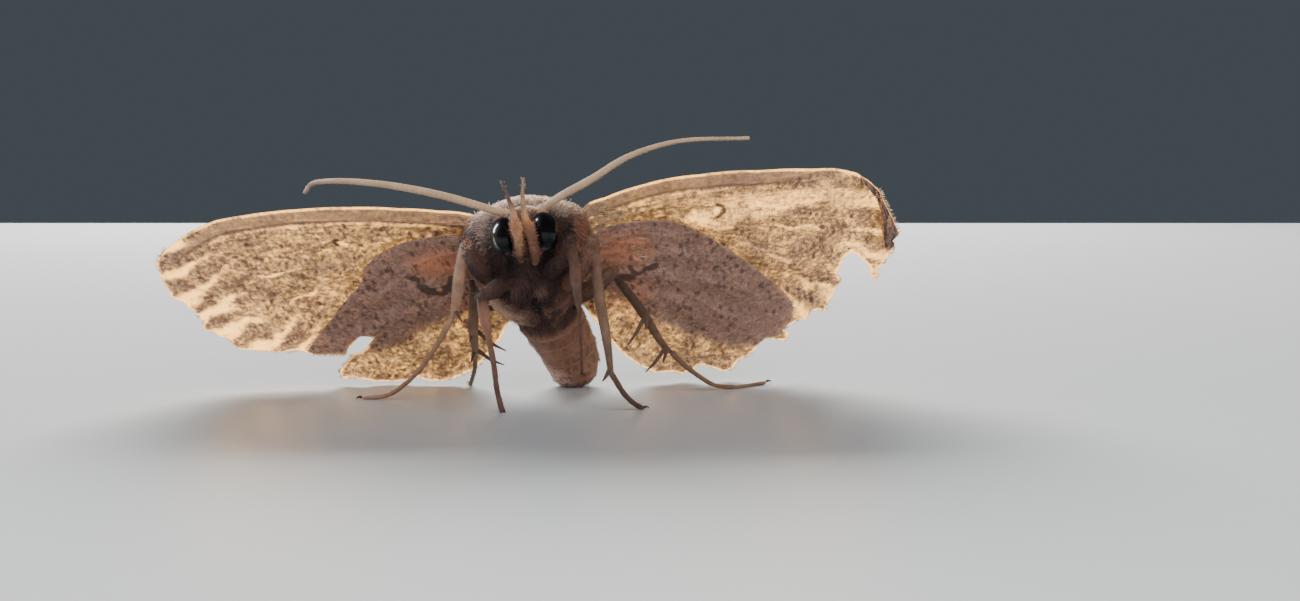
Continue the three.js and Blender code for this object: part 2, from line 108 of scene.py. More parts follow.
LEGS = {
    "fore_right": {
        "femur": [(-1.25, -4.6, 8.6, 0.62), (-2.15, -5.9, 8.0, 0.56), (-2.80, -6.9, 7.70, 0.46)],
        "tibia": [(-2.80, -6.9, 7.70, 0.44), (-2.66, -6.55, 6.5, 0.46), (-2.51, -6.1, 5.25, 0.34)],
        "tarsus": [(-2.51, -6.1, 5.25, 0.27), (-2.27, -5.3, 3.2, 0.26), (-2.18, -4.6, 1.56, 0.25),
                   (-1.94, -3.9, 0.08, 0.27)],
        "spurs": [],
    },
    "mid_right": {
        "femur": [(-1.9, -3.6, 7.9, 0.66), (-3.3, -5.0, 9.4, 0.60), (-3.85, -5.4, 10.75, 0.50)],
        "tibia": [(-3.85, -5.4, 10.75, 0.46), (-4.45, -4.3, 8.6, 0.46), (-4.98, -2.9, 6.28, 0.36)],
        "tarsus": [(-4.98, -2.9, 6.28, 0.29), (-6.08, -2.2, 4.38, 0.28), (-7.95, -1.0, 1.9, 0.26),
                   (-9.83, 0.1, 0.50, 0.25), (-11.70, 0.55, 0.14, 0.25)],
        "spurs": [((-4.95, -3.1, 6.5), (-4.45, -3.6, 5.75))],
    },
    "hind_right": {
        "femur": [(-1.5, -1.2, 6.6, 0.70), (-2.9, -1.6, 6.9, 0.62), (-3.88, -1.2, 7.86, 0.48)],
        "tibia": [(-3.88, -1.2, 7.86, 0.44), (-4.28, 0.35, 5.0, 0.46), (-4.37, 2.0, 2.92, 0.36)],
        "tarsus": [(-4.37, 2.0, 2.92, 0.28), (-4.72, 4.0, 1.40, 0.26), (-5.15, 5.4, 0.42, 0.25),
                   (-5.35, 6.15, 0.12, 0.25)],
        "spurs": [((-4.25, 0.85, 4.7), (-2.20, 1.2, 3.15)), ((-4.35, 0.75, 4.6), (-4.55, 0.45, 3.85)),
                  ((-4.30, 1.8, 3.2), (-2.45, 2.1, 2.05)), ((-4.40, 1.8, 3.1), (-4.60, 1.4, 2.35))],
    },
    "fore_left": {
        "femur": [(1.2, -4.6, 9.0, 0.64), (2.1, -6.2, 9.9, 0.60), (2.66, -6.9, 11.0, 0.52)],
        "tibia": [(2.66, -6.9, 11.0, 0.50), (2.92, -6.9, 8.95, 0.52), (3.07, -6.2, 6.87, 0.36)],
        "tarsus": [(3.07, -6.2, 6.87, 0.27), (3.10, -4.6, 4.41, 0.26), (3.06, -2.9, 2.32, 0.25)],
        "spurs": [],
    },
    "mid_left": {
        "femur": [(1.9, -3.6, 7.9, 0.66), (3.3, -4.9, 9.4, 0.60), (3.95, -5.2, 10.85, 0.50)],
        "tibia": [(3.95, -5.2, 10.85, 0.46), (4.32, -5.4, 7.33, 0.48), (4.68, -5.3, 5.14, 0.44),
                  (4.97, -4.9, 2.69, 0.34)],
        "tarsus": [(4.97, -4.9, 2.69, 0.28), (5.95, -3.9, 0.98, 0.26), (6.92, -2.9, 0.12, 0.26)],
        "spurs": [((4.90, -5.0, 3.0), (4.45, -5.4, 2.25))],
    },
    "hind_left": {
        "femur": [(1.7, -0.9, 6.9, 0.72), (3.6, -1.3, 7.6, 0.68), (4.94, -1.0, 8.65, 0.54)],
        "tibia": [(4.94, -1.0, 8.65, 0.50), (6.94, 0.6, 5.78, 0.56), (8.21, 1.5, 3.62, 0.46),
                  (8.88, 2.0, 2.89, 0.38)],
        "tarsus": [(8.88, 2.0, 2.89, 0.30), (10.06, 2.7, 1.68, 0.28), (11.67, 3.6, 0.56, 0.26),
                   (13.31, 4.4, 0.22, 0.25), (15.55, 6.1, 0.22, 0.25)],
        "spurs": [((7.05, 0.55, 5.6), (5.95, 0.1, 3.72)), ((7.15, 0.55, 5.5), (7.15, 0.1, 4.75)),
                  ((8.45, 1.6, 3.4), (7.10, 1.2, 1.72)), ((8.55, 1.6, 3.3), (8.25, 1.1, 2.35))],
    },
}

# A wing spreads from a hinge inside the chest. Its edge is given as (degrees, reach):
# the angle from straight outward, front edge first, and the distance from the hinge.
# Slope is how steeply a wing stands, drop how far it lies under its mate, torn the worn
# degrees of its edge, and bite the ring of (degrees, reach) that was cut out of it.
WINGS = {
    "forewing_right": {
        "root": (-3.9, -2.6, 12.2), "outward": -1, "slope": 48.8, "drop": 0.0, "hinge": (-2.6, 2.2),
        "edge": [(-45, 3.6), (-35.7, 5.4), (-29.5, 7.75), (-24.7, 10.8), (-20.9, 13.8), (-17.5, 16.9),
                 (-15.1, 19.1), (-12.1, 20.8), (-8.5, 22.5), (-5.3, 23.85), (-1.4, 24.15), (3.8, 23.7),
                 (7.1, 23.3), (11.5, 23.7), (14.4, 23.1), (17, 22.8), (20.3, 21.55), (23.3, 20.5),
                 (26.5, 19.2), (31, 17.5), (33.5, 15.3), (36.2, 13), (41, 8.45), (49, 6.4), (60, 4.2)],
        "torn": (-6, 31),
        "bite": [(36.5, 19.0), (32.6, 19.0), (31.6, 17.3), (30.3, 16.4), (29.2, 15.05), (30.3, 14.5), (32.4, 14.2),
                 (34.8, 14.7), (34.2, 16.4)],
    },
    "hindwing_right": {
        "root": (-3.9, -2.6, 12.2), "outward": -1, "slope": 51, "drop": 0.72, "hinge": (-2.6, 4.2),
        "edge": [(-43, 5.2), (-34.3, 6.5), (-24.7, 8.2), (-15.7, 9.7), (-9.4, 10.5), (-3.2, 10.9),
                 (-0.2, 11.4), (4.5, 12.6), (10.3, 14.35), (14.2, 15.95), (17.3, 17.4), (19.4, 16.85),
                 (20.9, 16.0), (22.4, 15.5), (23.3, 15.2), (24.0, 15.1), (24.8, 15.6), (26.5, 16.9),
                 (28.5, 17.35), (32, 16), (36.1, 15.2), (41.6, 14.1), (45.8, 13.1), (52.5, 12.1),
                 (54.6, 11.5), (57.4, 10.6), (59, 9.4), (61.2, 7.8), (63.8, 5.6), (67, 4.2)],
        "torn": (28, 56),
        "bite": [(24.2, 18.0), (23.0, 18.0), (22.8, 15.35), (20.6, 14.62), (18.6, 13.32), (19.3, 12.77), (21.3, 12.31),
                 (24.5, 14.14), (23.8, 14.9), (24.0, 15.7)],
    },
    "forewing_left": {
        "root": (3.7, -2.6, 13.0), "outward": 1, "slope": 48.8, "drop": 0.0, "hinge": (-2.6, 2.2),
        "edge": [(-44.2, 3.55), (-37.4, 4.4), (-29.6, 6.65), (-19.9, 10.2), (-13, 13.8), (-9, 16.9),
                 (-7.3, 18.5), (-4.9, 19.9), (-3.9, 20.2), (-0.1, 21.35), (5.2, 22.35), (8, 22.95),
                 (10.4, 23.5), (12, 23.2), (13.6, 23.5), (15.5, 23.7), (17.2, 23.4), (19.2, 23.35),
                 (20.5, 23.65), (21.5, 23.6), (21.9, 20.6), (22.6, 21.1), (23.4, 21.35), (25, 21.1),
                 (27.6, 21.3), (30, 21.25), (30.9, 21.6), (31.8, 20.3), (34.2, 20.4), (35.6, 20.0),
                 (38, 19.7), (39.0, 19.5), (39.6, 20.8), (42.2, 20.9), (42.8, 19.0), (43.4, 17.8), (44.5, 17.2),
                 (47.3, 16.3), (50.6, 13.6), (53, 10), (56, 6.2), (62, 4.2)],
        "torn": (11, 46),
        "bite": [(21.8, 20.4), (22.5, 21.0), (24.0, 22.4), (27.0, 26.0), (21.9, 26.0), (21.75, 23.7),
                 (20.3, 22.75), (19.1, 22.65), (17.9, 22.15), (16.2, 21.3), (15.6, 20.65), (16.9, 20.25), (19.6, 20.2)],
    },
    "hindwing_left": {
        "root": (3.7, -2.6, 13.0), "outward": 1, "slope": 51, "drop": 0.72, "hinge": (-2.6, 4.2),
        "edge": [(-41.3, 4.1), (-27.7, 6.25), (-17.6, 8.1), (-7.8, 9.45), (0.6, 10.65), (7.4, 12.05),
                 (15, 14.2), (20, 16.05), (22.5, 16.85), (23.6, 17.1), (26.9, 17.5), (30.3, 17.9),
                 (31.6, 17.3), (33.8, 17.5), (34.8, 17.0), (36.7, 16.8), (41.6, 17.0), (43.2, 17.0),
                 (46.9, 16.9), (49.3, 16.5), (50.4, 15.6), (51.2, 14.5), (52.8, 14.3), (54.6, 14.5),
                 (57.8, 14.1), (60.3, 13.3), (63.9, 12.6), (67.1, 10.9), (68.9, 9.3), (70, 7), (71, 4.6)],
        "torn": (28, 63),
    },
}

# Veins as (degrees, reach) on the right wings; the left wings lie a little further back.
FOREWING_VEINS = [
    [(-37, 3.2), (-24.5, 5.7), (-21.5, 8.2), (-18.6, 11.3), (-17.2, 14.5), (-16.0, 17.2)],
    [(-33, 3.4), (-20.8, 5.7), (-18.0, 8.2), (-15.2, 11.4), (-14.2, 14.5), (-14.0, 17.0), (-11.9, 20.3)],
    [(-15.2, 11.4), (-12.2, 14.6), (-10.6, 18.0), (-8.2, 22.3)],
    [(-14.2, 11.2), (-9.4, 14.8), (-7.0, 18.6), (-4.0, 23.4)],
    [(-12.6, 3.4), (-12.0, 5.1), (-11.4, 7.6), (-6.1, 9.7), (0.5, 11.7), (6.0, 15.0), (9.6, 18.6), (11.6, 23.4)],
    [(-11.0, 11.7), (-5.0, 14.8), (-2.0, 18.6), (0.4, 23.4)],
    [(-6.1, 11.3), (-0.6, 15.0), (2.6, 18.8), (5.4, 23.3)],
    [(-11.4, 7.6), (0.9, 11.0), (8.6, 13.5), (13.0, 16.6), (16.6, 22.6)],
    [(-12.0, 5.1), (4.0, 8.0), (15.1, 12.6), (20.2, 17.0), (22.6, 20.6)],
    [(-4.0, 3.4), (14.0, 6.6), (25.0, 11.0), (29.0, 15.4), (29.5, 17.8)],
    [(12.0, 3.2), (30.0, 5.6), (36.0, 8.6), (35.5, 12.6)],
]
HINDWING_VEINS = [
    [(-38, 4.6), (-27, 6.6), (-16, 8.6), (-5, 10.0), (4, 12.0)],
    [(-31, 4.3), (-19, 6.2), (-8, 8.4), (2, 10.6), (10.5, 14.2)],
    [(-19, 6.2), (-4, 8.2), (9, 11.4), (16.4, 16.6)],
    [(-16, 4.2), (-2, 6.0), (12, 8.6), (19, 12.0), (23.6, 16.0)],
    [(-2, 6.0), (18, 8.2), (27, 12.0), (31.5, 16.2)],
    [(-2, 4.2), (16, 6.0), (32, 9.2), (40, 14.4)],
    [(12, 4.0), (34, 6.2), (46, 9.4), (50, 12.4)],
    [(28, 3.8), (50, 6.2), (57, 9.8)],
]
VEIN_TURN = {"forewing_left": 8.0, "hindwing_left": 12.0, "forewing_right": 0.0, "hindwing_right": 0.0}

# ---------------------------------------------------------------- numbers


def linear(red, green, blue):
    """A colour given as 0-255 screen values, as the linear numbers that shaders use."""
    scaled = np.array((red, green, blue)) / 255
    return np.where(scaled <= 0.04045, scaled / 12.92, ((scaled + 0.055) / 1.055) ** 2.4)


def smooth(low, high, value):
    """0 below low, 1 above high and an eased step between them; high may be under low."""
    share = np.clip((np.asarray(value, float) - low) / (high - low), 0, 1)
    return share * share * (3 - 2 * share)


def unit(vectors):
    return vectors / np.maximum(np.linalg.norm(vectors, axis=-1, keepdims=True), 1e-9)


def lattice(cells, seed):
    """A steady random number 0..1 for each whole-numbered cell."""
    x, y, z = (cells[..., k].astype(np.int64) for k in range(3))
    mixed = (x * 73856093) ^ (y * 19349663) ^ (z * 83492791) ^ (seed * 26544357 + 977)
    mixed &= 0xFFFFFFFF
    mixed = ((mixed ^ (mixed >> 15)) * 2246822519) & 0xFFFFFFFF
    mixed = ((mixed ^ (mixed >> 13)) * 3266489917) & 0xFFFFFFFF
    return ((mixed ^ (mixed >> 16)) & 0xFFFF) / 65535


def clouds(points, lump, seed=0):
    """Smooth noise 0..1 at each point, with lumps about this many millimetres across."""
    points = np.asarray(points, float)
    if points.shape[-1] == 2:
        points = np.concatenate([points, np.zeros(points.shape[:-1] + (1,))], axis=-1)
    places = points / lump
    cells = np.floor(places)
    part = places - cells
    part = part * part * (3 - 2 * part)
    total = 0
    for corner in np.ndindex(2, 2, 2):
        weight = np.prod(np.where(corner, part, 1 - part), axis=-1)
        total = total + weight * lattice(cells + corner, seed)
    return total


def through(rows, per):
    """Rows of numbers eased smoothly, with this many steps from each row to the next."""
    rows = np.asarray(rows, float)
    place = np.linspace(0, len(rows) - 1, (len(rows) - 1) * per + 1)
    at = np.minimum(place.astype(int), len(rows) - 2)
    part = (place - at)[:, None]
    held = np.vstack([2 * rows[0] - rows[1], rows, 2 * rows[-1] - rows[-2]])
    a, b, c, d = (held[at + k] for k in range(4))
    return 0.5 * (2 * b + (c - a) * part + (2 * a - 5 * b + 4 * c - d) * part ** 2
                  + (3 * b - a - 3 * c + d) * part ** 3)


def limb_route(joints, per):
    """The middle line and radius of a limb: a centripetal curve through its joints."""
    joints = np.asarray(joints, float)
    middle = joints[:, :3]
    held = np.vstack([2 * middle[0] - middle[1], middle, 2 * middle[-1] - middle[-2]])
    rows = []
    for step in range((len(middle) - 1) * per + 1):
        at = min(step // per, len(middle) - 2)
        part = step / per - at
        a, b, c, d = held[at:at + 4]
        ab, bc, cd = (max(np.linalg.norm(q - p), 1e-6) ** 0.5 for p, q in ((a, b), (b, c), (c, d)))
        leave = ((b - a) / ab - (c - a) / (ab + bc) + (c - b) / bc) * bc
        arrive = ((c - b) / bc - (d - b) / (bc + cd) + (d - c) / cd) * bc
        point = (b + leave * part + (3 * (c - b) - 2 * leave - arrive) * part ** 2
                 + (2 * (b - c) + leave + arrive) * part ** 3)
        radius = joints[at, 3] + (joints[at + 1, 3] - joints[at, 3]) * part
        rows.append((*point, radius))
    return np.array(rows)


# ---------------------------------------------------------------- surfaces


class Surface:
    """A round surface along a middle line: its grid of points, and where each one is on it."""

    def __init__(self, name, points, along, turns):
        self.name = name
        self.points = points
        count = len(points)
        self.share = np.broadcast_to(np.linspace(0, 1, count)[:, None], points.shape[:2])
        self.turn = np.broadcast_to(turns, points.shape[:2])
        self.along = np.broadcast_to(along[:, None, :], points.shape)

    def closed(self):
        """Points and faces of the surface, shut with a small cap at each end."""
        rows, sides = self.points.shape[:2]
        points = self.points.reshape(-1, 3)
        ends = np.vstack([self.points[0].mean(0), self.points[-1].mean(0)])
        faces = []
        for i in range(rows - 1):
            for j in range(sides):
                k = (j + 1) % sides
                faces.append((i * sides + j, (i + 1) * sides + j, (i + 1) * sides + k, i * sides + k))
        for j in range(sides):
            k = (j + 1) % sides
            faces.append((rows * sides, j, k))
            faces.append((rows * sides + 1, (rows - 1) * sides + k, (rows - 1) * sides + j))
        return np.vstack([points, ends]), faces


# Sides round a part and steps from one of its stations or joints to the next.
MESH_STEPS = {"head": (56, 6), "thorax": (120, 8), "abdomen": (84, 14), "palp": (16, 10), "femur": (18, 8),
              "tibia": (18, 10), "tarsus": (16, 14), "feeler": (14, 60), "thorn": (9, 8)}
LEAST_RADIUS, LEAST_HALF = 0.03, 0.05  # of a limb and of a body part


def body_surface(name, stations, form, depth):
    """A body part through its stations; form is how far the skin stands out."""
    sides, per = MESH_STEPS[name]
    rows = through(stations, per)
    middle = rows[:, :3]
    along = unit(np.gradient(middle, axis=0))
    side = unit(ACROSS - along * (along @ ACROSS)[:, None])
    up = np.cross(side, along)
    turns = np.linspace(0, 2 * math.pi, sides, endpoint=False)
    share = np.linspace(0, 1, len(rows))[:, None]
    height = np.where(np.sin(turns) > 0, rows[:, 4:5], rows[:, 5:6])
    out = form(depth, share, turns[None, :])
    half = np.maximum(rows[:, 3:4] + out, LEAST_HALF)
    height = np.maximum(height + out, LEAST_HALF)
    points = (middle[:, None] + side[:, None] * (half * np.cos(turns))[..., None]
              + up[:, None] * (height * np.sin(turns))[..., None])
    return Surface(name, points, along, turns)


def limb_surface(name, joints, form=None, depth=0.0, domed=False):
    """A limb through its joints, its ends rounded where they meet at a knee."""
    sides, per = MESH_STEPS[name.split("_")[0]]
    rows = limb_route(joints, per)
    middle = rows[:, :3]
    along = unit(np.gradient(middle, axis=0))
    turns = np.linspace(0, 2 * math.pi, sides, endpoint=False)
    share = np.linspace(0, 1, len(rows))[:, None]
    radius = rows[:, 3:4]
    if form:
        radius = radius + form(depth, share, turns[None, :], radius)
    radius = np.maximum(radius, LEAST_RADIUS)
    sideways = []
    hint = np.array((1.0, 0, 0)) if abs(along[0][0]) < 0.8 else np.array((0, 1.0, 0))
    for direction in along:
        hint = unit(hint - direction * (hint @ direction))
        sideways.append(hint)
    side = np.array(sideways)
    for end, way in ((0, -1), (-1, 1)) if domed else ():
        tilt = np.radians((80, 55, 28))[::way]
        cap = middle[end] + along[end] * way * (radius[end].mean() * np.sin(tilt))[:, None]
        rest = (np.cos(tilt)[:, None] * radius[end], np.tile(side[end], (3, 1)), np.tile(along[end], (3, 1)))
        lists = zip((cap, *rest), (middle, radius, side, along))
        middle, radius, side, along = (np.concatenate([more, old][::-way]) for more, old in lists)
    up = np.cross(side, along)
    points = (middle[:, None] + side[:, None] * (radius * np.cos(turns))[..., None]
              + up[:, None] * (radius * np.sin(turns))[..., None])
    return Surface(name, points, along, turns)


# ---------------------------------------------------------------- mesh making


def new_mesh(name, points, faces):
    mesh = bpy.data.meshes.new(name)
    mesh.from_pydata(np.asarray(points).tolist(), [], faces if isinstance(faces, list) else faces.tolist())
    mesh.update()
    return mesh


def in_frame(points):
    """Points in the moth's own millimetres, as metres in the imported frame."""
    return (np.asarray(points, float) + TO_FRAME) * MM


def piece(name, points, faces, material, replaced=()):
    """A finished piece from points in millimetres, riding on the moth."""
    mesh = new_mesh(name, in_frame(points), faces)
    mesh.materials.append(material)
    mesh.shade_smooth()
    thing = bpy.data.objects.new(name, mesh)
    bpy.context.scene.collection.objects.link(thing)
    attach(thing, "root")
    if replaced:
        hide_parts(*replaced)
    return thing


def give_colours(mesh, name, colours):
    """A colour for every point of a mesh, kept under this name for its material."""
    layer = mesh.attributes.new(name, "FLOAT_COLOR", "POINT")
    full = np.ones((len(mesh.vertices), 4), np.float32)
    full[:, :colours.shape[1]] = colours
    layer.data.foreach_set("color", full.ravel())


def give_places(mesh, name, vectors):
    layer = mesh.attributes.new(name, "FLOAT_VECTOR", "POINT")
    layer.data.foreach_set("vector", np.asarray(vectors, np.float32).ravel())


def give_unwrap(mesh, places):
    """The bake layout, from a place for every point."""
    layer = mesh.uv_layers.new(name="OFBake")
    corners = np.empty(len(mesh.loops), np.int32)
    mesh.loops.foreach_get("vertex_index", corners)
    layer.data.foreach_set("uv", np.asarray(places, np.float32)[corners].ravel())


# ---------------------------------------------------------------- shader making


class Shade:
    """A value in a material; arithmetic on it adds the nodes that work it out."""

    def __init__(self, look, socket):
        self.look = look
        self.socket = socket

    def beside(self, output):
        """Another output of the same node."""
        return Shade(self.look, self.socket.node.outputs[output])

    def maths(self, operation, *values, clamp=False):
        return self.look.add("ShaderNodeMath", {"operation": operation, "use_clamp": clamp},
                             dict(enumerate(values)))

    def __add__(self, other):
        return self.maths("ADD", self, other)

    def __sub__(self, other):
        return self.maths("SUBTRACT", self, other)

    def __rsub__(self, other):
        return self.maths("SUBTRACT", other, self)

    def __mul__(self, other):
        return self.maths("MULTIPLY", self, other)

    __radd__ = __add__
    __rmul__ = __mul__

    def limited(self):
        return self.maths("ADD", self, 0.0, clamp=True)

    def most(self, other):
        return self.maths("MAXIMUM", self, other)

    def step(self, low, high):
        """An eased step from 0 at low to 1 at high."""
        return self.look.add("ShaderNodeMapRange", {"interpolation_type": "SMOOTHSTEP"},
                             {"Value": self, "From Min": low, "From Max": high})


class Look:
    """A material, and the one way that nodes are added to it."""

    def __init__(self, name):
        self.material = bpy.data.materials.new(name)
        self.material.use_nodes = True
        self.tree = self.material.node_tree
        self.tree.nodes.clear()

    def add(self, kind, settings=None, inputs=None, output=0):
        node = self.tree.nodes.new(kind)
        for name, value in (settings or {}).items():
            if name == "stops":
                ramp = node.color_ramp
                while len(ramp.elements) < len(value):
                    ramp.elements.new(0.5)
                for element, (place, colour) in zip(ramp.elements, value):
                    element.position = place
                    element.color = (*linear(*colour), 1)
            else:
                setattr(node, name, value)
        for name, value in (inputs or {}).items():
            if isinstance(value, Shade):
                self.tree.links.new(value.socket, node.inputs[name])
            else:
                node.inputs[name].default_value = value
        return Shade(self, node.outputs[output]) if len(node.outputs) else None

    def noted(self, name, part="Color"):
        """What the mesh keeps under a name: its Color, Vector or Fac."""
        return self.add("ShaderNodeAttribute", {"attribute_name": name}, output=part)

    def blend(self, share, first, second, way="MIX"):
        full = [(*c, 1) if isinstance(c, (tuple, np.ndarray)) else c for c in (first, second)]
        return self.add("ShaderNodeMix", {"data_type": "RGBA", "blend_type": way},
                        {0: share, 6: full[0], 7: full[1]}, output=2)

    def split(self, colour):
        """The three numbers that a colour holds."""
        node = self.add("ShaderNodeSeparateColor", None, {"Color": colour}).socket.node
        return [Shade(self, socket) for socket in node.outputs]

    def shaded(self, tint, shade):
        """A colour made lighter or darker by a number."""
        grey = self.add("ShaderNodeCombineColor", None, {0: shade, 1: shade, 2: shade})
        return self.blend(1.0, tint, grey, "MULTIPLY")

    def stretched(self, vector, by, way="MULTIPLY"):
        return self.add("ShaderNodeVectorMath", {"operation": way}, {0: vector, 1: by})

    def here(self):
        """Where a point is on the moth, in millimetres."""
        return self.stretched(self.add("ShaderNodeTexCoord", output="Object"), (1 / MM,) * 3)

    def noise(self, vector, scale, detail=3.0, rough=0.55, output=0):
        return self.add("ShaderNodeTexNoise", None,
                        {"Vector": vector, "Scale": scale, "Detail": detail, "Roughness": rough}, output)

    def cells(self, vector, scale=1.0):
        return self.add("ShaderNodeTexVoronoi", {"feature": "F1"}, {"Vector": vector, "Scale": scale})

    def ramp(self, value, *stops):
        """A colour from a number, by (number, colour) stops."""
        return self.add("ShaderNodeValToRGB", {"stops": stops}, {"Fac": value})

    def bump(self, height, strength, distance, **settings):
        return self.add("ShaderNodeBump", settings,
                        {"Height": height, "Strength": strength, "Distance": distance * MM})

    def surface(self, sockets):
        return self.add("ShaderNodeBsdfPrincipled", None, sockets)

    def finish(self, shader):
        self.add("ShaderNodeOutputMaterial", None, {"Surface": shader})
        return self.material


def hair_look(name, roughness, sheen, sheen_tint, streak=0.35):
    """Hair or scales: the colour kept on each lock, with fine streaks and a soft sheen."""
    look = Look(name)
    place = look.here()
    fine = look.noise(look.stretched(place, (9, 9, 3)), 1.0, 2.0)
    broad = look.noise(place, 0.9, 2.0)
    shade = 1.0 + (fine - 0.5) * streak + (broad - 0.5) * 0.3
    height = look.noise(look.stretched(place, (14, 14, 5)), 1.0, 2.0)
    return look.finish(look.surface({
        "Base Color": look.shaded(look.noted("tint"), shade), "Roughness": roughness,
        "Normal": look.bump(height, 0.35, 0.03), "Sheen Weight": sheen, "Sheen Roughness": 0.4,
        "Sheen Tint": (*sheen_tint, 1), "Specular IOR Level": 0.35}))


def wing_look():
    """Worn wing scales: a grainy golden ground, dark smears, pale bare rays and rims, painted highlights on the dark
    marks and a crest, and painted shade in a crease and where the wings overlap.
    """
    look = Look("wing_scales")
    place = look.noted("place", "Vector")
    dark, rays, flush = look.split(look.noted("marks"))
    vein, margin, plain = look.split(look.noted("bounds"))
    lapped = look.noted("lapped", "Fac")

    broad = look.noise(place, 0.5, 3.0, 0.6)
    lump = look.noise(place, 1.6, 3.0, 0.65)
    grain = look.noise(place, 3.3, 5.0, 0.80)
    scales = look.cells(look.stretched(place, (8, 13, 9)))
    drift = look.stretched(look.noise(place, 2.2, 2.0, output=1), (0.5, 0.5, 0.0))
    astray = look.stretched(place, drift, "ADD")

    def smears(along, across, rare, wide):
        """Scattered dark smears: cells to a millimetre each way, how rare they are, how wide."""
        cells = look.cells(look.stretched(astray, (along, across, 1.0)))
        chance = look.split(cells.beside("Color"))[0] + dark * 0.5 + lapped * 0.2
        return (cells + (grain - 0.5) * 0.45).step(wide, wide * 0.55) * chance.step(rare, rare + 0.10)

    calm = plain * margin.step(1.35, 1.05)
    # Painted shade and painted highlight: fold darkens a line along the inner edge of the plain front strip as the
    # shade in a crease, and the crest beside it is lightened as the lit ridge of that crease.
    fold = plain * (margin.step(1.25, 1.12) * margin.step(0.92, 1.08))
    crest_highlight = plain * (margin.step(1.55, 1.42) * margin.step(1.22, 1.36))
    smear = smears(2.4, 1.35, 0.50, 0.44).most(smears(4.6, 3.0, 0.62, 0.42) * 0.75)
    smear = smear * (1.0 - rays * 0.9) * (1.0 - calm * 0.55)
    value = (0.41 + (grain - 0.5) * 3.7 + (lump - 0.5) * 1.3 + (broad - 0.5) * 0.9
             + rays * 0.80 - dark * 0.30)
    value = value * (1.0 - calm * 0.75) + calm * 0.28 - fold * 0.22 + crest_highlight * 0.24
    value = value + margin.step(0.22, 0.07) * 0.7 + vein.step(0.12, 0.03) * 0.12
    spots = (smear * 0.85 + (dark - 0.3).step(0.0, 0.5) * (0.5 + grain * 0.9)).limited()

    ground = look.ramp(value, (0.10, (94, 72, 68)), (0.38, (138, 114, 110)),
                       (0.62, (166, 144, 140)), (0.92, (226, 210, 196)))
    # Painted shade: where the wings overlap, the ground is muted toward mauve-brown, more dark smears show and less
    # light comes through, for the shade of the double layer.
    ground = look.blend(lapped * 0.48, ground, linear(168, 128, 106))
    colour = look.blend(flush * 0.8, ground, linear(204, 126, 90))
    colour = look.blend(spots * 0.88, colour, linear(66, 46, 38))

    surface = look.surface({
        "Base Color": colour, "Roughness": 0.72, "Sheen Weight": 0.08, "Sheen Roughness": 0.4,
        "Specular IOR Level": 0.3, "Normal": look.bump(scales * 0.30 + grain * 0.7 + lump * 0.5, 0.6, 0.08)})
    through_light = look.add("ShaderNodeBsdfTranslucent", None, {"Color": (*linear(255, 220, 160), 1)})
    openness = ((0.15 + value.step(0.16, 1.10) * 0.84 - flush * 0.05) * (1.0 - lapped * 0.30)
                * (1.0 - spots * 0.70)).limited() * 0.97
    return look.finish(look.add("ShaderNodeMixShader", None, {0: openness, 1: surface, 2: through_light}))


def eye_look():
    look = Look("eye_glass")
    place = look.here()
    facets = look.cells(place, 24.0)
    colour = look.ramp(look.noise(place, 1.4, 2.0), (0.3, (5, 5, 8)), (0.6, (9, 8, 11)), (0.9, (18, 13, 14)))
    return look.finish(look.surface({
        "Base Color": colour, "Roughness": 0.30 + facets * 0.16,
        "Normal": look.bump(facets, 0.2, 0.02, invert=True),
        "Specular IOR Level": 0.05, "Coat Weight": 0.42, "Coat Roughness": 0.06}))


def floor_look(colour, roughness):
    look = Look("pale_floor")
    place = look.here()
    speck = look.noise(place, 0.6, 2.0)
    tone = look.blend(look.noise(place, 0.012, 3.0), tuple(c * 0.90 for c in colour), tuple(colour))
    return look.finish(look.surface({
        "Base Color": tone, "Roughness": roughness + (speck - 0.5) * 0.06,
        "Normal": look.bump(speck, 0.08, 0.2), "Specular IOR Level": 0.5}))


# ---------------------------------------------------------------- skin


def from_belly(turn):
    """The angle round from the middle of the underside, -pi..pi."""
    return (np.asarray(turn) - 1.5 * math.pi + math.pi) % (2 * math.pi) - math.pi


def ridge(place, middle, wide):
    """A rounded ridge: 1 at its middle, fading within about its width."""
    return np.exp(-((place - middle) / wide) ** 2)


# How far the skin stands out from a part's stations or joints, under a coat of this depth.
# A station's form gets the share along the part and the turn round it, a joint's the radius as well.


def thorax_form(depth, share, turn):
    belly = from_belly(turn)
    aside = np.abs(belly)
    groove = -0.34 * ridge(belly, 0.0, 0.10) * smooth(0.30, 0.45, share) * smooth(0.97, 0.80, share)
    hips = 0.22 * ridge(aside, 0.42, 0.24) * smooth(0.25, 0.5, share)
    seam = -0.16 * ridge(aside, 0.95, 0.09) * smooth(0.2, 0.4, share)
    plates = 0.08 * np.sin(share * 21 + aside * 2.2) * smooth(1.8, 0.6, aside)
    shoulders = 0.42 * ridge(aside, 2.05, 0.34) * smooth(0.06, 0.2, share) * smooth(0.55, 0.4, share)
    back = 0.25 * depth * smooth(1.5, 2.2, aside)
    flank = 0.42 * ridge(belly, -0.92, 0.36) * smooth(0.5, 0.68, share)
    return -depth + groove + hips + seam + plates + shoulders + back + flank


def head_form(depth, share, turn):
    return -depth + 0.08 * np.cos(turn) ** 2 * smooth(0.7, 0.3, share)


RINGS = 7.6  # of the abdomen


def abdomen_form(depth, share, turn):
    part = (share * RINGS) % 1.0
    return -depth + 0.07 * part ** 2 - 0.03 * smooth(0.10, 0.0, part)


def palp_form(depth, share, turn, radius):
    thin = radius * (1 - 0.42 * smooth(0.52, 0.66, share) - 0.28 * smooth(0.72, 1.0, share))
    return thin - radius - depth * smooth(0.62, 0.45, share)


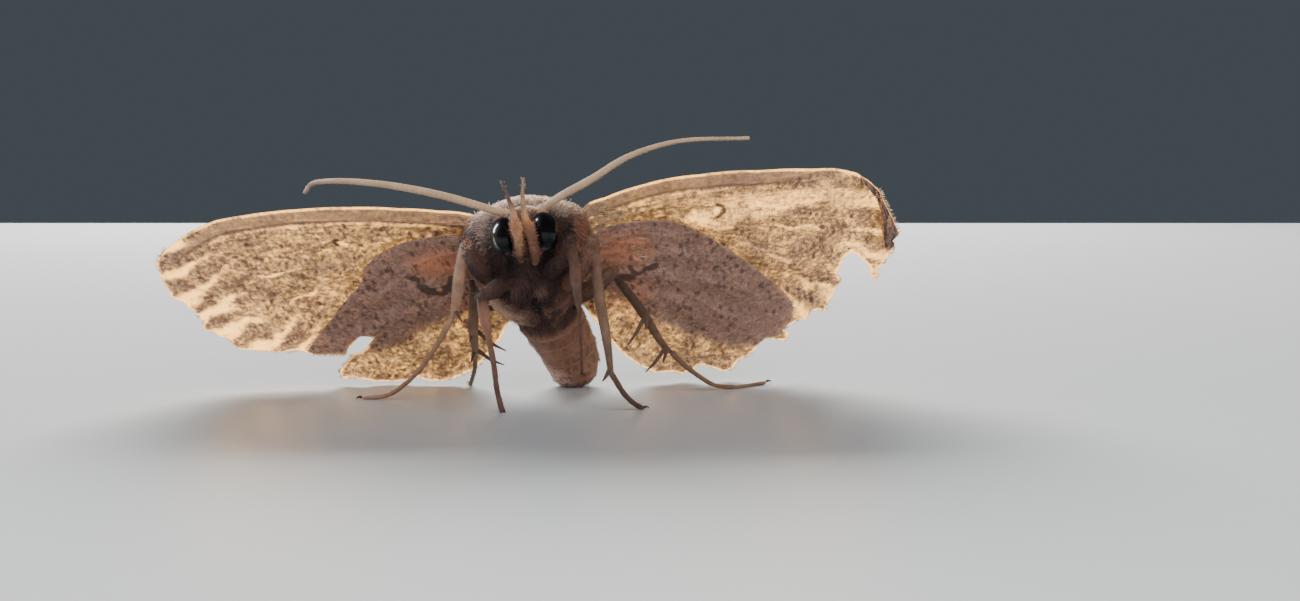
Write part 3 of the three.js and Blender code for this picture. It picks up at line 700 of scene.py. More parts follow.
def limb_form(depth, share, turn, radius):
    return -depth + 0.03 * np.sin(share * 3.1)


def foot_form(depth, share, turn, radius):
    """Five foot joints, each a little wider at its far end."""
    part = (share ** 0.8 * 5) % 1.0
    return -depth - 0.035 * smooth(0.9, 1.0, part) - 0.03 * smooth(0.14, 0.0, part)


# How much deeper than the others the skin lies in some shins and some feet.
FINER_LEGS = {"mid_right": -0.06, "fore_left": 0.07, "mid_left": 0.03, "hind_left": 0.12}
FINER_FEET = {"fore_left": 0.05, "fore_right": -0.03, "mid_left": -0.02}


def moth_surfaces(sizes):
    """Every fleshy part as a round surface, inside its solid by the depth of its coat."""
    found = [body_surface("head", HEAD, head_form, sizes.head_depth),
             body_surface("thorax", THORAX, thorax_form, sizes.chest_depth),
             body_surface("abdomen", ABDOMEN, abdomen_form, sizes.abdomen_depth)]
    for side, joints in PALPS.items():
        found.append(limb_surface("palp_" + side, joints, palp_form, sizes.limb_depth))
    for leg, parts in LEGS.items():
        depth = sizes.limb_depth + FINER_LEGS.get(leg, 0.0)
        found.append(limb_surface("femur_" + leg, parts["femur"], limb_form, sizes.limb_depth, True))
        found.append(limb_surface("tibia_" + leg, parts["tibia"], limb_form, depth, True))
        depth = sizes.foot_depth + FINER_FEET.get(leg, 0.0)
        foot = limb_surface("tarsus_" + leg, parts["tarsus"], foot_form, depth)
        low = smooth(1.1, 0.35, foot.points[..., 2].mean(1))
        foot.points[..., 2] -= (low * depth)[:, None]
        found.append(foot)
    for surface in found:
        surface.points[..., 2] = np.maximum(surface.points[..., 2], FLOOR)
    return found


class Guide:
    """Finds, for any point by the body, its part, its place on that part and which way is tailward."""

    def __init__(self, surfaces):
        self.names = [s.name for s in surfaces]
        self.part = np.concatenate([np.full(s.share.size, k) for k, s in enumerate(surfaces)])
        self.share = np.concatenate([s.share.ravel() for s in surfaces])
        self.turn = np.concatenate([s.turn.ravel() for s in surfaces])
        self.along = np.concatenate([s.along.reshape(-1, 3) for s in surfaces])
        points = np.concatenate([s.points.reshape(-1, 3) for s in surfaces])
        self.tree = KDTree(len(points))
        for k, point in enumerate(points):
            self.tree.insert(point, k)
        self.tree.balance()

    def nearest(self, points):
        return np.array([self.tree.find(point)[1] for point in points])


# A leg's colours at the root of the thigh, the thigh, the knee, the shin and the foot.
LEG_TONES = {
    "fore_right": ((66, 46, 42), (84, 60, 52), (74, 54, 46), (154, 108, 86), (106, 76, 64)),
    "mid_right": ((66, 46, 42), (84, 60, 52), (169.7, 129.6, 104.8), (178, 136, 110), (144, 106, 84)),
    "hind_right": ((66, 46, 42), (92, 68, 58), (74, 54, 46), (138, 104, 84), (116, 86, 70)),
    "fore_left": ((66, 46, 42), (70, 48, 42), (74, 54, 46), (106, 76, 64), (98, 70, 60)),
    "mid_left": ((112, 78, 64), (116, 82, 66), (104, 78, 64), (122, 94, 76), (90, 68, 56)),
    "hind_left": ((112, 78, 64), (104, 76, 60), (58, 42, 34), (104, 78, 62), (124, 94, 74)),
}


def painted(count, base, *layers):
    """Colours for this many points: a base, and each further colour over it by its amount."""
    tone = np.tile(linear(*base), (count, 1))
    for colour, amount in layers:
        tone = tone + (linear(*colour) - tone) * np.clip(amount, 0, 1)[:, None]
    return tone


def chest_colours(on):
    s, streak, x, z, aside = on.s, on.streak, on.at[:, 0], on.at[:, 2], np.abs(on.belly)
    # Partly painted light: the hair low on the right flank is a pale tan, painted lighter still for the light that
    # shines through it from behind.
    flank = (x + 3.2) * -0.676 + (z - 7.45) * -0.735
    # Painted shadow: the hair below the left eye is darkened nearly to black for the shade that falls there.
    shadow_under_eye = np.hypot((x - 1.5) / 1.0, (z - 9.3) / 1.2)
    throat = smooth(7.9, 8.9, z) * smooth(2.2, 1.2, np.abs(x - 0.3))
    front = painted(
        len(s), (54, 37, 36), ((146, 106, 94), smooth(0.40, 0.74, streak)),
        ((150, 100, 76), 0.8 * smooth(0.9, 2.6, x) * smooth(0.30, 0.55, streak)),
        ((176, 126, 108), smooth(0.40, 0.75, s) * smooth(0.2, 0.55, streak) * 0.9),
        ((236, 196, 168), smooth(-1.1, -0.3, flank) * smooth(-0.6, -1.3, x)),
        ((26, 18, 18), smooth(0.10, 0.03, aside) * smooth(0.35, 0.5, s)),
        ((40, 28, 28), 0.8 * smooth(0.9, 0.97, s) * smooth(-0.6, 0.0, x)),
        ((24, 18, 20), 0.85 * smooth(1.25, 0.6, shadow_under_eye)), ((34, 24, 26), 0.6 * throat))
    back = painted(len(s), (206, 178, 156), ((150, 116, 94), smooth(0.50, 0.80, on.fine)),
                   ((128, 98, 82), 0.75 * smooth(0.22, 0.45, s + (streak - 0.5) * 0.5)))
    share = smooth(0.30, 0.72, on.rise + (on.mottle - 0.5) * 0.35) * smooth(0.06, 0.20, s)
    return front + (back - front) * share[:, None]


def head_colours(on):
    crown = smooth(0.66, 0.88, on.rise + (on.mottle - 0.5) * 0.2) * smooth(0.35, 0.6, on.s)
    return painted(len(on.s), (66, 42, 38), ((122, 74, 54), smooth(0.4, 0.75, on.fine)), ((200, 168, 140), crown))


def abdomen_colours(on):
    s, aside = on.s, np.abs(on.belly)
    arc = ridge(s + 0.03 * np.cos(on.belly), 0.86, 0.008) * smooth(1.5, 0.8, aside)
    return painted(
        len(s), (144, 99, 74), ((124, 81, 58), smooth(0.4, 0.75, on.mottle)),
        ((190, 152, 134), smooth(0.62, 0.85, s) * smooth(0.3, -0.5, np.sin(on.belly))),
        ((92, 64, 56), smooth(0.24, 0.17, s) * smooth(1.6, 1.1, aside)),
        ((74, 52, 44), smooth(0.58, 0.72, clouds(on.at, 0.20, 21)) * 0.6),
        ((190, 148, 128), smooth(0.80, 1.0, (s * RINGS) % 1.0) * 0.3), ((86, 50, 44), 0.8 * arc))


def palp_colours(on):
    s, left = on.s, on.name.endswith("left")
    return painted(
        len(s), (52, 30, 28), ((178, 134, 98), smooth(0.20, 0.50, s)),
        ((190, 126, 76), smooth(0.50, 0.58, s) * smooth(0.70, 0.62, s) * 0.6),
        ((168, 136, 104) if left else (104, 80, 68), smooth(0.70, 0.82, s)),
        ((130, 84, 56), smooth(0.62, 0.85, on.fine) * 0.4),
        ((112, 74, 60), 0.85 * smooth(0.66, 0.50, s) * left))


def leg_colours(on):
    kind, leg = on.name.split("_", 1)
    root, thigh, knee, shin, foot = (linear(*colour) for colour in LEG_TONES[leg])
    near, far = {"femur": (root, thigh), "tibia": (knee, shin), "tarsus": ((shin + foot) / 2, foot)}[kind]
    tone = near + (far - near) * smooth(0.0, 0.6, on.s)[:, None]
    return tone * (0.80 + 0.40 * on.fine)[:, None]


PART_COLOURS = {"thorax": chest_colours, "head": head_colours, "abdomen": abdomen_colours, "palp": palp_colours,
                "femur": leg_colours, "tibia": leg_colours, "tarsus": leg_colours}


def coat_colours(names, part, share, turn, points):
    """The colour of skin and coat, from the part and the place on it."""
    fields = {"at": points, "s": share, "belly": from_belly(turn), "rise": np.sin(turn),
              "mottle": clouds(points, 0.9, 3), "fine": clouds(points, 0.3, 5),
              "streak": clouds(points * np.array((1.0, 0.45, 0.30)), 0.55, 8)}
    colours = np.zeros((len(part), 3))
    for k, name in enumerate(names):
        here = part == k
        on = SimpleNamespace(name=name, **{field: values[here] for field, values in fields.items()})
        colours[here] = PART_COLOURS[name.split("_")[0]](on)
    return colours * (0.86 + 0.28 * fields["mottle"])[:, None]


def skin_look():
    """Bare skin between the hairs, a little darker than they are."""
    look = Look("skin")
    place = look.here()
    fine = look.noise(look.stretched(place, (7, 7, 3)), 1.0, 3.0)
    return look.finish(look.surface({
        "Base Color": look.shaded(look.noted("tint"), 0.62 + fine * 0.5), "Roughness": 0.74,
        "Normal": look.bump(look.cells(place, 11.0) + fine * 0.6, 0.6, 0.05),
        "Sheen Weight": 0.05, "Sheen Roughness": 0.4, "Specular IOR Level": 0.3}))


def one_skin(surfaces, grain, kept):
    """Joins the closed surfaces into one seamless skin; grain is its cell, in millimetres."""
    points, faces, count = [], [], 0
    for surface in surfaces:
        some, shapes = surface.closed()
        points.append(some)
        faces += [tuple(k + count for k in face) for face in shapes]
        count += len(some)
    form = bpy.data.objects.new("skin_form", new_mesh("skin_form", np.vstack(points), faces))
    bpy.context.scene.collection.objects.link(form)
    merge = form.modifiers.new("merge", "REMESH")
    merge.mode = "VOXEL"
    merge.voxel_size = grain
    ease = form.modifiers.new("ease", "SMOOTH")
    ease.factor = 0.5
    ease.iterations = 2
    thin = form.modifiers.new("thin", "DECIMATE")
    thin.ratio = kept
    bpy.context.view_layer.update()
    result = bpy.data.meshes.new_from_object(form.evaluated_get(bpy.context.evaluated_depsgraph_get()))
    bpy.data.objects.remove(form)
    corners = np.empty(len(result.vertices) * 3)
    result.vertices.foreach_get("co", corners)
    corners = corners.reshape(-1, 3)
    corners[:, 2] = np.maximum(corners[:, 2], FLOOR)
    shapes = [tuple(polygon.vertices) for polygon in result.polygons]
    bpy.data.meshes.remove(result)
    return corners, shapes


# ---------------------------------------------------------------- coat


class Pelt:
    """The skin as ground for hair: its faces, and what part and place each one is on."""

    def __init__(self, points, faces, guide):
        triangles = []
        for face in faces:
            triangles += [(face[0], face[k], face[k + 1]) for k in range(1, len(face) - 1)]
        self.guide = guide
        self.corners = points[np.array(triangles)]
        cross = np.cross(self.corners[:, 1] - self.corners[:, 0], self.corners[:, 2] - self.corners[:, 0])
        self.size = np.linalg.norm(cross, axis=1) / 2
        smoothed = np.zeros_like(points)
        for k in range(3):
            np.add.at(smoothed, np.array(triangles)[:, k], cross)
        self.normals = unit(smoothed)[np.array(triangles)]
        near = guide.nearest(self.corners.mean(1))
        self.part, self.share = guide.part[near], guide.share[near]
        self.turn, self.along = guide.turn[near], guide.along[near]

    def roots(self, rng, dense, wanted):
        """Roots at about this many to a square millimetre wherever wanted(part, share, turn, at) allows."""
        middle = self.corners.mean(1)
        weight = self.size * np.clip(wanted(self.part, self.share, self.turn, middle), 0, 1)
        count = int(weight.sum() * dense)
        if count == 0:
            raise RuntimeError("a coat has nowhere to grow")
        picked = rng.choice(len(weight), count, p=weight / weight.sum())
        a, b = rng.random(count), rng.random(count)
        over = a + b > 1
        a, b = np.where(over, 1 - a, a), np.where(over, 1 - b, b)
        spread = np.stack([1 - a - b, a, b], axis=1)[..., None]
        return {
            "at": (self.corners[picked] * spread).sum(1),
            "up": unit((self.normals[picked] * spread).sum(1)),
            "part": self.part[picked], "share": self.share[picked],
            "turn": self.turn[picked], "along": self.along[picked],
        }

    def unwrap(self, roots):
        """A place for each root on the parts' own unwrap, each part in its own square."""
        used = sorted(set(roots["part"].tolist()))
        across = math.ceil(math.sqrt(len(used)))
        index = np.searchsorted(used, roots["part"])
        u = (index % across + 0.04 + 0.92 * roots["turn"] / (2 * math.pi)) / across
        v = (index // across + 0.04 + 0.92 * roots["share"]) / across
        return np.stack([u, v], axis=1)


PATCH = 0.003  # size of a lock's own patch on the unwrap
ROOT_DEPTH = 0.04  # how far a lock starts below the skin
LOCK_WIDTHS = {2: (0.8, 0.85), 3: (0.62, 1.0, 0.72)}  # of each ring of a lock, as shares of its width


def lock_mesh(rng, roots, lie, length, width, lift, droop, colours, places,
              rings=3, flat=0.5, curl=0.25, twist=0.5, tip_tone=1.15, root_tone=0.62):
    """Closed tapered locks, one to a root, lying along lie and rising from it by lift."""
    count = len(roots["at"])
    up = roots["up"]
    lie = unit(lie - up * (lie * up).sum(1, keepdims=True))
    turn = rng.normal(0, twist, count)[:, None] * 0.5
    side = np.cross(up, lie)
    lie = unit(lie * np.cos(turn) + side * np.sin(turn))
    side = np.cross(up, lie)
    roll = rng.normal(0, 0.35, count)[:, None]
    flank, top = side * np.cos(roll) + up * np.sin(roll), up * np.cos(roll) - side * np.sin(roll)
    bend = rng.normal(0, curl, count)[:, None]
    length, width = length[:, None], width[:, None]
    lift, droop = np.reshape(lift, (-1, 1)), np.reshape(droop, (-1, 1))
    points, tones, offsets = [], [], []
    for k in range(rings + 1):
        s = k / rings
        spine = (roots["at"] - up * ROOT_DEPTH + lie * length * s * (1 - 0.12 * s)
                 + up * length * (lift * s - droop * s * s) + side * length * bend * s * s)
        tone = root_tone + (tip_tone - root_tone) * s
        if k == rings:
            points.append(spine[:, None])
            tones.append(np.full(1, tone))
            offsets.append([(0.5, 1.0)])
            continue
        wide = width * LOCK_WIDTHS[rings][k]
        points.append(np.stack([spine - flank * wide / 2, spine + flank * wide / 2,
                                spine + top * wide * flat], axis=1))
        tones.append(np.full(3, tone))
        offsets.append([(0.0, s), (1.0, s), (0.5, s)])
    points = np.concatenate(points, axis=1)
    each = points.shape[1]
    shapes = [(0, 2, 1)]
    for k in range(rings - 1):
        for j in range(3):
            a, b = k * 3 + j, k * 3 + (j + 1) % 3
            shapes.append((a, b, b + 3))
            shapes.append((a, b + 3, a + 3))
    last = (rings - 1) * 3
    shapes += [(last + j, last + (j + 1) % 3, each - 1) for j in range(3)]
    faces = (np.array(shapes)[None] + (np.arange(count) * each)[:, None, None]).reshape(-1, 3)
    tone = np.concatenate(tones)[None, :, None]
    own = rng.normal(1.0, 0.13, count)[:, None, None]
    shown = np.clip(colours[:, None, :] * tone * own, 0, 1)
    spots = places[:, None] + (np.concatenate(offsets) - 0.5)[None] * PATCH
    points = points.reshape(-1, 3)
    points[:, 2] = np.maximum(points[:, 2], FLOOR)
    return points, faces, shown.reshape(-1, 3), spots.reshape(-1, 2)


MOST_LOCK_FACES = 190000


def lock_piece(name, parts, material):
    """One piece from several runs of locks."""
    points, faces, tones, spots, count = [], [], [], [], 0
    for some, shapes, tone, spot in parts:
        points.append(some)
        faces.append(shapes + count)
        tones.append(tone)
        spots.append(spot)
        count += len(some)
    faces = np.vstack(faces)
    if len(faces) > MOST_LOCK_FACES:
        raise RuntimeError(f"{name} has {len(faces)} faces, more than {MOST_LOCK_FACES}")
    thing = piece(name, np.vstack(points), faces, material)
    give_colours(thing.data, "tint", np.vstack(tones))
    give_unwrap(thing.data, np.vstack(spots))
    return thing


shared = {}


def pelt():
    if "pelt" not in shared:
        raise RuntimeError("the skin has to be made before its coat")
    return shared["pelt"]


def only(*kinds, side=""):
    """A mask over parts whose names start with any of these and end with the side."""
    flags = np.array([name.startswith(kinds) and name.endswith(side) for name in pelt().guide.names])
    return lambda part: flags[part].astype(float)


class Grower:
    """Grows runs of locks on the skin; stray is how far they leave the lie of the coat."""

    def __init__(self, context, step, stray, lengths=(0.6, 1.2), widths=(0.7, 1.3)):
        self.settings = context.scene.moth_coat
        self.rng = np.random.default_rng(self.settings.seed + step)
        self.stray, self.lengths, self.widths = stray, lengths, widths

    def grow(self, wanted, dense, length, width, lift, droop, way=None, **more):
        """Locks where wanted allows; way turns their lie, and more goes to lock_mesh."""
        ground = pelt()
        roots = ground.roots(self.rng, dense, wanted)
        size = len(roots["at"])
        lie = way(roots) if way else roots["along"]
        lie = lie + self.rng.normal(0, self.stray, (size, 3))
        lengths, widths = length * self.rng.uniform(*self.lengths, size), width * self.rng.uniform(*self.widths, size)
        tint = coat_colours(ground.guide.names, roots["part"], roots["share"], roots["turn"], roots["at"])
        return lock_mesh(self.rng, roots, lie, lengths, widths, lift, droop, tint, ground.unwrap(roots), **more)


# ---------------------------------------------------------------- wings

# A forewing's pale rays: outer end, inner end and half width.
FRONT_RAYS = [
    ((-8.6, 22.9), (-11.6, 19.6), 0.55), ((-2.4, 23.4), (-7.2, 18.6), 0.75), ((4.2, 23.6), (-2.6, 18.6), 0.85),
    ((9.3, 23.4), (2.6, 18.3), 0.85), ((14.6, 23.4), (9.6, 17.8), 0.9), ((20.1, 21.8), (13.4, 16.0), 0.8),
    ((24.8, 19.8), (18.5, 15.6), 0.6), ((1.0, 17.6), (-2.2, 13.0), 0.25), ((12.0, 17.0), (6.0, 13.0), 0.3),
]


class Wing:
    """One wing's flat chart, laid out from its hinge, and the way back to the moth."""

    def __init__(self, name):
        spec = WINGS[name]
        self.name = name
        self.fore = name.startswith("fore")
        self.turned = VEIN_TURN[name]
        slope, sweep = math.radians(spec["slope"]), math.radians(SWEEP)
        outward = spec["outward"]
        out = unit(np.array((outward * math.cos(ROLL), math.sin(sweep), outward * math.sin(ROLL))))
        back = np.array((math.sin(slope) * math.sin(ROLL), math.cos(slope), -math.sin(slope) * math.cos(ROLL)))
        back = unit(back - out * (back @ out))
        self.out, self.back = out, back
        self.under = np.cross(out, back) * -outward
        self.origin = np.array(spec["root"]) + self.under * spec["drop"]
        self.hinge = np.array(spec["hinge"])
        self.angles, self.reaches = np.array(spec["edge"], float).T
        self.torn = spec["torn"]
        self.bite = self.chart(*np.array(spec["bite"], float).T) if "bite" in spec else None
        self.seed = sorted(WINGS).index(name) * 17

    def reach(self, angle):
        """How far the worn edge is from the hinge at each angle."""
        line = (np.radians(angle) * 16)[..., None] * np.array((1.0, 0.0, 0.0))
        worn = smooth(self.torn[0] - 2, self.torn[0] + 1, angle) * smooth(self.torn[1] + 2, self.torn[1] - 1, angle)
        ragged = (clouds(line, 0.75, self.seed) - 0.5) * 0.42 + (clouds(line, 0.24, self.seed + 1) - 0.5) * 0.26
        scallops = 0.13 * np.abs(np.sin(0.62 * angle + 0.4)) - 0.08
        apex = smooth(-16 + self.turned, -8 + self.turned, angle) if self.fore else smooth(8, 18, angle)
        return (np.interp(angle, self.angles, self.reaches) + scallops * worn
                + ragged * (0.02 + 0.12 * apex + 0.86 * worn))

    def front(self, reach):
        """The angle of the front edge at each reach."""
        top = int(np.argmax(self.reaches > 0.93 * self.reaches.max())) + 1
        return np.interp(reach, self.reaches[:top], self.angles[:top])

    def chart(self, angle, reach):
        angle = np.radians(angle)
        return self.hinge + np.stack([reach * np.cos(angle), reach * np.sin(angle)], axis=-1)

    def polar(self, chart):
        """The angle and the reach of chart points."""
        away = chart - self.hinge
        return np.degrees(np.arctan2(away[..., 1], away[..., 0])), np.linalg.norm(away, axis=-1)

    def place(self, angle, reach, lift):
        """A point on the moth from the angle, the reach and the height on the underside."""
        chart = self.chart(angle, reach)
        behind = smooth(3, 18, angle - self.front(reach))
        pleat = 0.07 * np.sin(angle * 0.42) * np.minimum(reach / 9, 1.4) * behind
        return (self.origin + self.out * chart[..., :1] + self.back * chart[..., 1:]
                + self.under * (lift + pleat)[..., None])

    def vein(self, stops):
        """A smooth line on the chart through (degrees, reach) stops, turned to suit this wing."""
        stops = through(np.array(stops, float), 5)
        return self.chart(stops[:, 0] + self.turned, stops[:, 1])

    def near(self, chart, *stops):
        """How far chart points are from a line through (degrees, reach) stops, and how far along it."""
        return distance_to_line(chart, self.chart(*np.array(stops, float).T))[:2]


def distance_to_line(points, line):
    """From a run of straight pieces: each point's distance, how far along it is, and the spot there."""
    best = np.full(points.shape[:-1], np.inf)
    where, spot = np.zeros(points.shape[:-1]), points
    for k in range(len(line) - 1):
        start, step = line[k], line[k + 1] - line[k]
        part = np.clip(((points - start) @ step) / max(step @ step, 1e-9), 0, 1)
        foot = start + part[..., None] * step
        gap = np.linalg.norm(points - foot, axis=-1)
        closer = gap < best
        spot = np.where(closer[..., None], foot, spot)
        where = np.where(closer, (k + part) / (len(line) - 1), where)
        best = np.minimum(best, gap)
    return best, where, spot


def within(points, ring):
    """Which chart points lie inside a closed ring."""
    found = np.zeros(points.shape[:-1], bool)
    for a, b in zip(ring, np.roll(ring, -1, axis=0)):
        crosses = (a[1] > points[..., 1]) != (b[1] > points[..., 1])
        at = a[0] + (points[..., 1] - a[1]) * (b[0] - a[0]) / np.where(b[1] == a[1], 1e-9, b[1] - a[1])
        found ^= crosses & (points[..., 0] < at)
    return found


def ringed(ring):
    """A closed ring's corners, with the first one again at the end."""
    return np.concatenate([ring, ring[:1]])


def bitten(wing, angle, reach):
    """The chart drawn back to the rim of a bite, and which of its points were cut away."""
    if wing.bite is None:
        return angle, reach, np.zeros(angle.shape, int)
    chart = wing.chart(angle, reach)
    ring = wing.bite + (clouds(wing.bite, 0.6, 77)[:, None] - 0.5) * 0.1
    gone = within(chart, ring)
    gap, where, spot = distance_to_line(chart, ringed(ring))
    angle, reach = wing.polar(np.where(gone[..., None], spot, chart))
    return angle, reach, np.where(gone, np.where(gap > 0.24, 2, 1), 0)


RIM_STEPS = 240
# The small comma by the front edge of a forewing and the pale streak in it, a painted highlight on the comma, by wing.
COMMAS_AND_GLINTS = {
    "forewing_left": (((-3.4, 10.75), (-2.2, 11.05), (-0.4, 11.1), (1.4, 10.7)), ((-1.6, 10.75), (0.3, 10.6))),
    "forewing_right": (((-10.4, 11.6), (-10.0, 11.9), (-7.8, 11.75)), ((-9.2, 11.5), (-7.2, 11.15))),
}


def forewing_marks(wing, chart, angle, share):
    """The forewing's dark marks and pale rays with a painted highlight in each comma, and no red flush."""
    drift = np.stack([clouds(chart, 1.1, 71), clouds(chart, 1.1, 72)], axis=-1) - 0.5
    left, rays = wing.name.endswith("left"), np.zeros(angle.shape)
    strength = 0.6 if left else 1.0
    for outer, inner, wide in FRONT_RAYS:
        gap, along = wing.near(chart + drift * 0.9, *(np.array((outer, inner)) + (wing.turned, 0)))
        broad = wide * (1.05 - along * 0.8)
        rays = np.maximum(rays, strength * smooth(broad, 0.0, gap) * smooth(1.0, 0.3, along))
    between = (smooth(0.80, 0.95, share) * smooth(-12, -6, angle - wing.turned)
               * smooth(26, 20, angle - wing.turned))
    comma, streak = (wing.near(chart, *stops)[0] for stops in COMMAS_AND_GLINTS[wing.name])
    dark = np.maximum(0.30 * between * smooth(0.4, 0.0, rays) * strength, 0.29 * smooth(0.42, 0.12, share))
    dark = np.maximum(dark, smooth(0.19, 0.09, comma))
    # Painted highlight: the pale streak in the comma is a glint on it, carried as a ray.
    rays = np.maximum(rays * smooth(0.2, 0.4, comma), 1.2 * smooth(0.17, 0.07, streak))
    if left:
        wedge, along = wing.near(chart, (-14.0, 11.0), (-8.0, 14.6), (-2.6, 18.6))
        pale, along = wing.near(chart, (1.5, 9.5), (-0.6, 13.5), (-0.8, 17.5), (2.3, 20.9))
        dark = np.maximum(dark, 0.26 * smooth(0.9, 0.2, wedge + drift[..., 0]))
        rays = np.maximum(rays, 0.42 * smooth(1.5, 0.1, pale + drift[..., 1]))
    else:
        smudge = np.linalg.norm((chart - (13.3, -1.15)) * (0.8, 1.4), axis=-1)
        dark = np.maximum(dark, 0.30 * smooth(0.7, 0.2, smudge))
    return dark, rays, np.zeros(angle.shape)


def hindwing_marks(wing, chart, angle, share):
    """The hindwing's dark crescent, the pale spot on it that is a painted highlight, and red flush."""
    left = wing.name.endswith("left")
    gap, along = wing.near(chart, *(
        ((21.5, 4.7), (17.0, 5.0), (12.6, 5.7), (10.8, 6.4)) if left else
        ((-3.9, 7.45), (2.6, 7.05), (8.1, 6.7), (11.3, 6.1), (8.5, 5.35), (-2.0, 4.8))))
    uneven = clouds(chart, 0.32, 40) - 0.5
    thick = (0.55 - 0.3 * along) if left else 0.26 + 0.26 * np.sin(along * math.pi)

    def from_spot(spot, squeeze):
        return np.linalg.norm((chart - spot) * squeeze, axis=-1)

    # Painted highlight: the pale spot on the crescent is a glint, carried as a ray.
    rays = smooth(0.3, 0.12, from_spot(wing.chart(*((12.5, 5.3) if left else (8.3, 6.1))), 1.0))
    dark = np.maximum(smooth(thick * 1.25, thick * 0.25, gap + uneven * 0.45) * (1 - rays), 0.04)
    glow = from_spot(wing.chart(*((-9.0, 4.4) if left else (-15.0, 5.6))), (0.55, 0.8))
    pink = from_spot(wing.hinge + (4.6, 3.2), (0.8, 0.5))
    flush = np.maximum(0.9 * smooth(1.55, 0.35, glow + uneven * 0.5), 0.45 * smooth(1.6, 0.4, pink + uneven * 0.7))
    return dark, rays, flush


def wing_fields(wing, angle, reach, edge):
    """Where the veins, margin, front edge, dark marks, pale rays with their painted highlights, red flush and the
    painted shade of the overlap lie.
    """
    chart, share = wing.chart(angle, reach), reach / edge
    veins = [distance_to_line(chart, wing.vein(stops))[0]
             for stops in (FOREWING_VEINS if wing.fore else HINDWING_VEINS)]
    rim = np.linspace(wing.angles[0], wing.angles[-1], RIM_STEPS)
    margin = distance_to_line(chart, wing.chart(rim, wing.reach(rim)))[0]
    if wing.bite is not None:
        margin = np.minimum(margin, distance_to_line(chart, ringed(wing.bite))[0])
    margin = margin + 0.5 * smooth(0.35, 0.12, share)
    ahead = angle - wing.front(reach)
    front = np.zeros(angle.shape)
    if wing.fore:
        front = smooth(26, 19, ahead) * smooth(0.985, 0.95, share) * smooth(-4, -9, angle)
    else:
        margin = margin + 0.6 * smooth(20, 14, angle)
    dark, rays, flush = (forewing_marks if wing.fore else hindwing_marks)(wing, chart, angle, share)
    mate = Wing(("hindwing" if wing.fore else "forewing") + wing.name[wing.name.index("_"):])
    # Painted shade: this marks where the mate wing lies over this one, so that the material darkens it as the shade of
    # the double layer.
    bearing, away = mate.polar(chart - (0.0, 0.75 if wing.fore else 0.0))
    lapped = (smooth(-0.1, 0.5, mate.reach(bearing) - away)
              * smooth(mate.angles[0] - 1, mate.angles[0] + 4, bearing)
              * smooth(mate.angles[-1] + 1, mate.angles[-1] - 4, bearing))
    return {"chart": chart, "vein": np.min(veins, axis=0) / (1.15 - 0.55 * share), "margin": margin,
            "front": front, "lapped": lapped, "dark": dark, "rays": rays, "flush": flush, "share": share,
            "ahead": ahead}


def wing_relief(wing, fields):
    """How far the membrane stands toward the underside: pleats, raised veins, curled wear."""
    chart, share, vein, ahead = (fields[kind] for kind in ("chart", "share", "vein", "ahead"))
    waves = [clouds(chart, lump, wing.seed + k) for k, lump in ((3, 3.2), (4, 1.3), (5, 0.9))]
    sag = ((waves[0] - 0.5) * 0.20 + (waves[1] - 0.5) * 0.10) * (1 - 0.92 * smooth(16, 4, ahead))
    ribs = 0.055 * smooth(0.16, 0.02, vein) * (1.1 - 0.5 * share) - 0.05 * smooth(0.12, 0.9, vein)
    curl = (waves[2] - 0.45) * 0.34 * smooth(0.9, 0.0, fields["margin"]) * smooth(0.6, 0.9, share)
    return sag + ribs + curl * smooth(4, 14, ahead)


def sheet(points_under, points_over, gone):
    """A closed thin sheet from two grids of points that face each other, less the faces that are gone."""
    rows, columns = points_under.shape[:2]
    index = np.arange(rows * columns).reshape(rows, columns)
    a, b, c, d = index[:-1, :-1], index[1:, :-1], index[1:, 1:], index[:-1, 1:]
    under = np.stack([a, b, c, d], axis=-1).reshape(-1, 4)
    lost = gone.ravel()[under]
    under = under[~(lost > 0).all(1) & (lost < 2).all(1)]
    over = under[:, ::-1] + rows * columns
    sides = np.concatenate([under[:, (k, (k + 1) % 4)] for k in range(4)])
    order, key = np.sort(sides, axis=1), rows * columns
    code = order[:, 0] * key + order[:, 1]
    values, counts = np.unique(code, return_counts=True)
    open_sides = sides[np.isin(code, values[counts == 1])]
    rim = np.column_stack([open_sides[:, 1], open_sides[:, 0], open_sides[:, 0] + key, open_sides[:, 1] + key])
    points = np.concatenate([points_under.reshape(-1, 3), points_over.reshape(-1, 3)])
    return points, np.concatenate([under, over, rim])


def outward_faces(points, faces):
    """The faces turned so that a closed shape faces outward."""
    a, b, c, d = (points[faces[:, k]] for k in range(4))
    volume = (a * np.cross(b, c)).sum() + (a * np.cross(c, d)).sum()
    return faces if volume > 0 else faces[:, ::-1]


# What is kept on a wing's points for its material, three numbers under each name.
WING_NOTES = {"marks": ("dark", "rays", "flush"), "bounds": ("vein", "margin", "front"), "lapped": ("lapped",) * 3}


def note_wing(thing, fields, wing):
    """Keeps the wing's chart and marks on its points, both faces alike."""
    chart = fields["chart"].reshape(-1, 2)
    place = np.column_stack([chart, np.full(len(chart), wing.seed * 0.37)])
    give_places(thing.data, "place", np.vstack([place, place + (0.0, 0.0, 0.9)]))
    for name, kinds in WING_NOTES.items():
        noted = np.stack([fields[kind].ravel() for kind in kinds], axis=1)
        give_colours(thing.data, name, np.vstack([noted, noted]))
    low, high = chart.min(0), chart.max(0)
    flat = (chart - low) / (high - low) * (0.96, 0.46) + (0.02, 0.02)
    give_unwrap(thing.data, np.vstack([flat, flat + (0.0, 0.5)]))


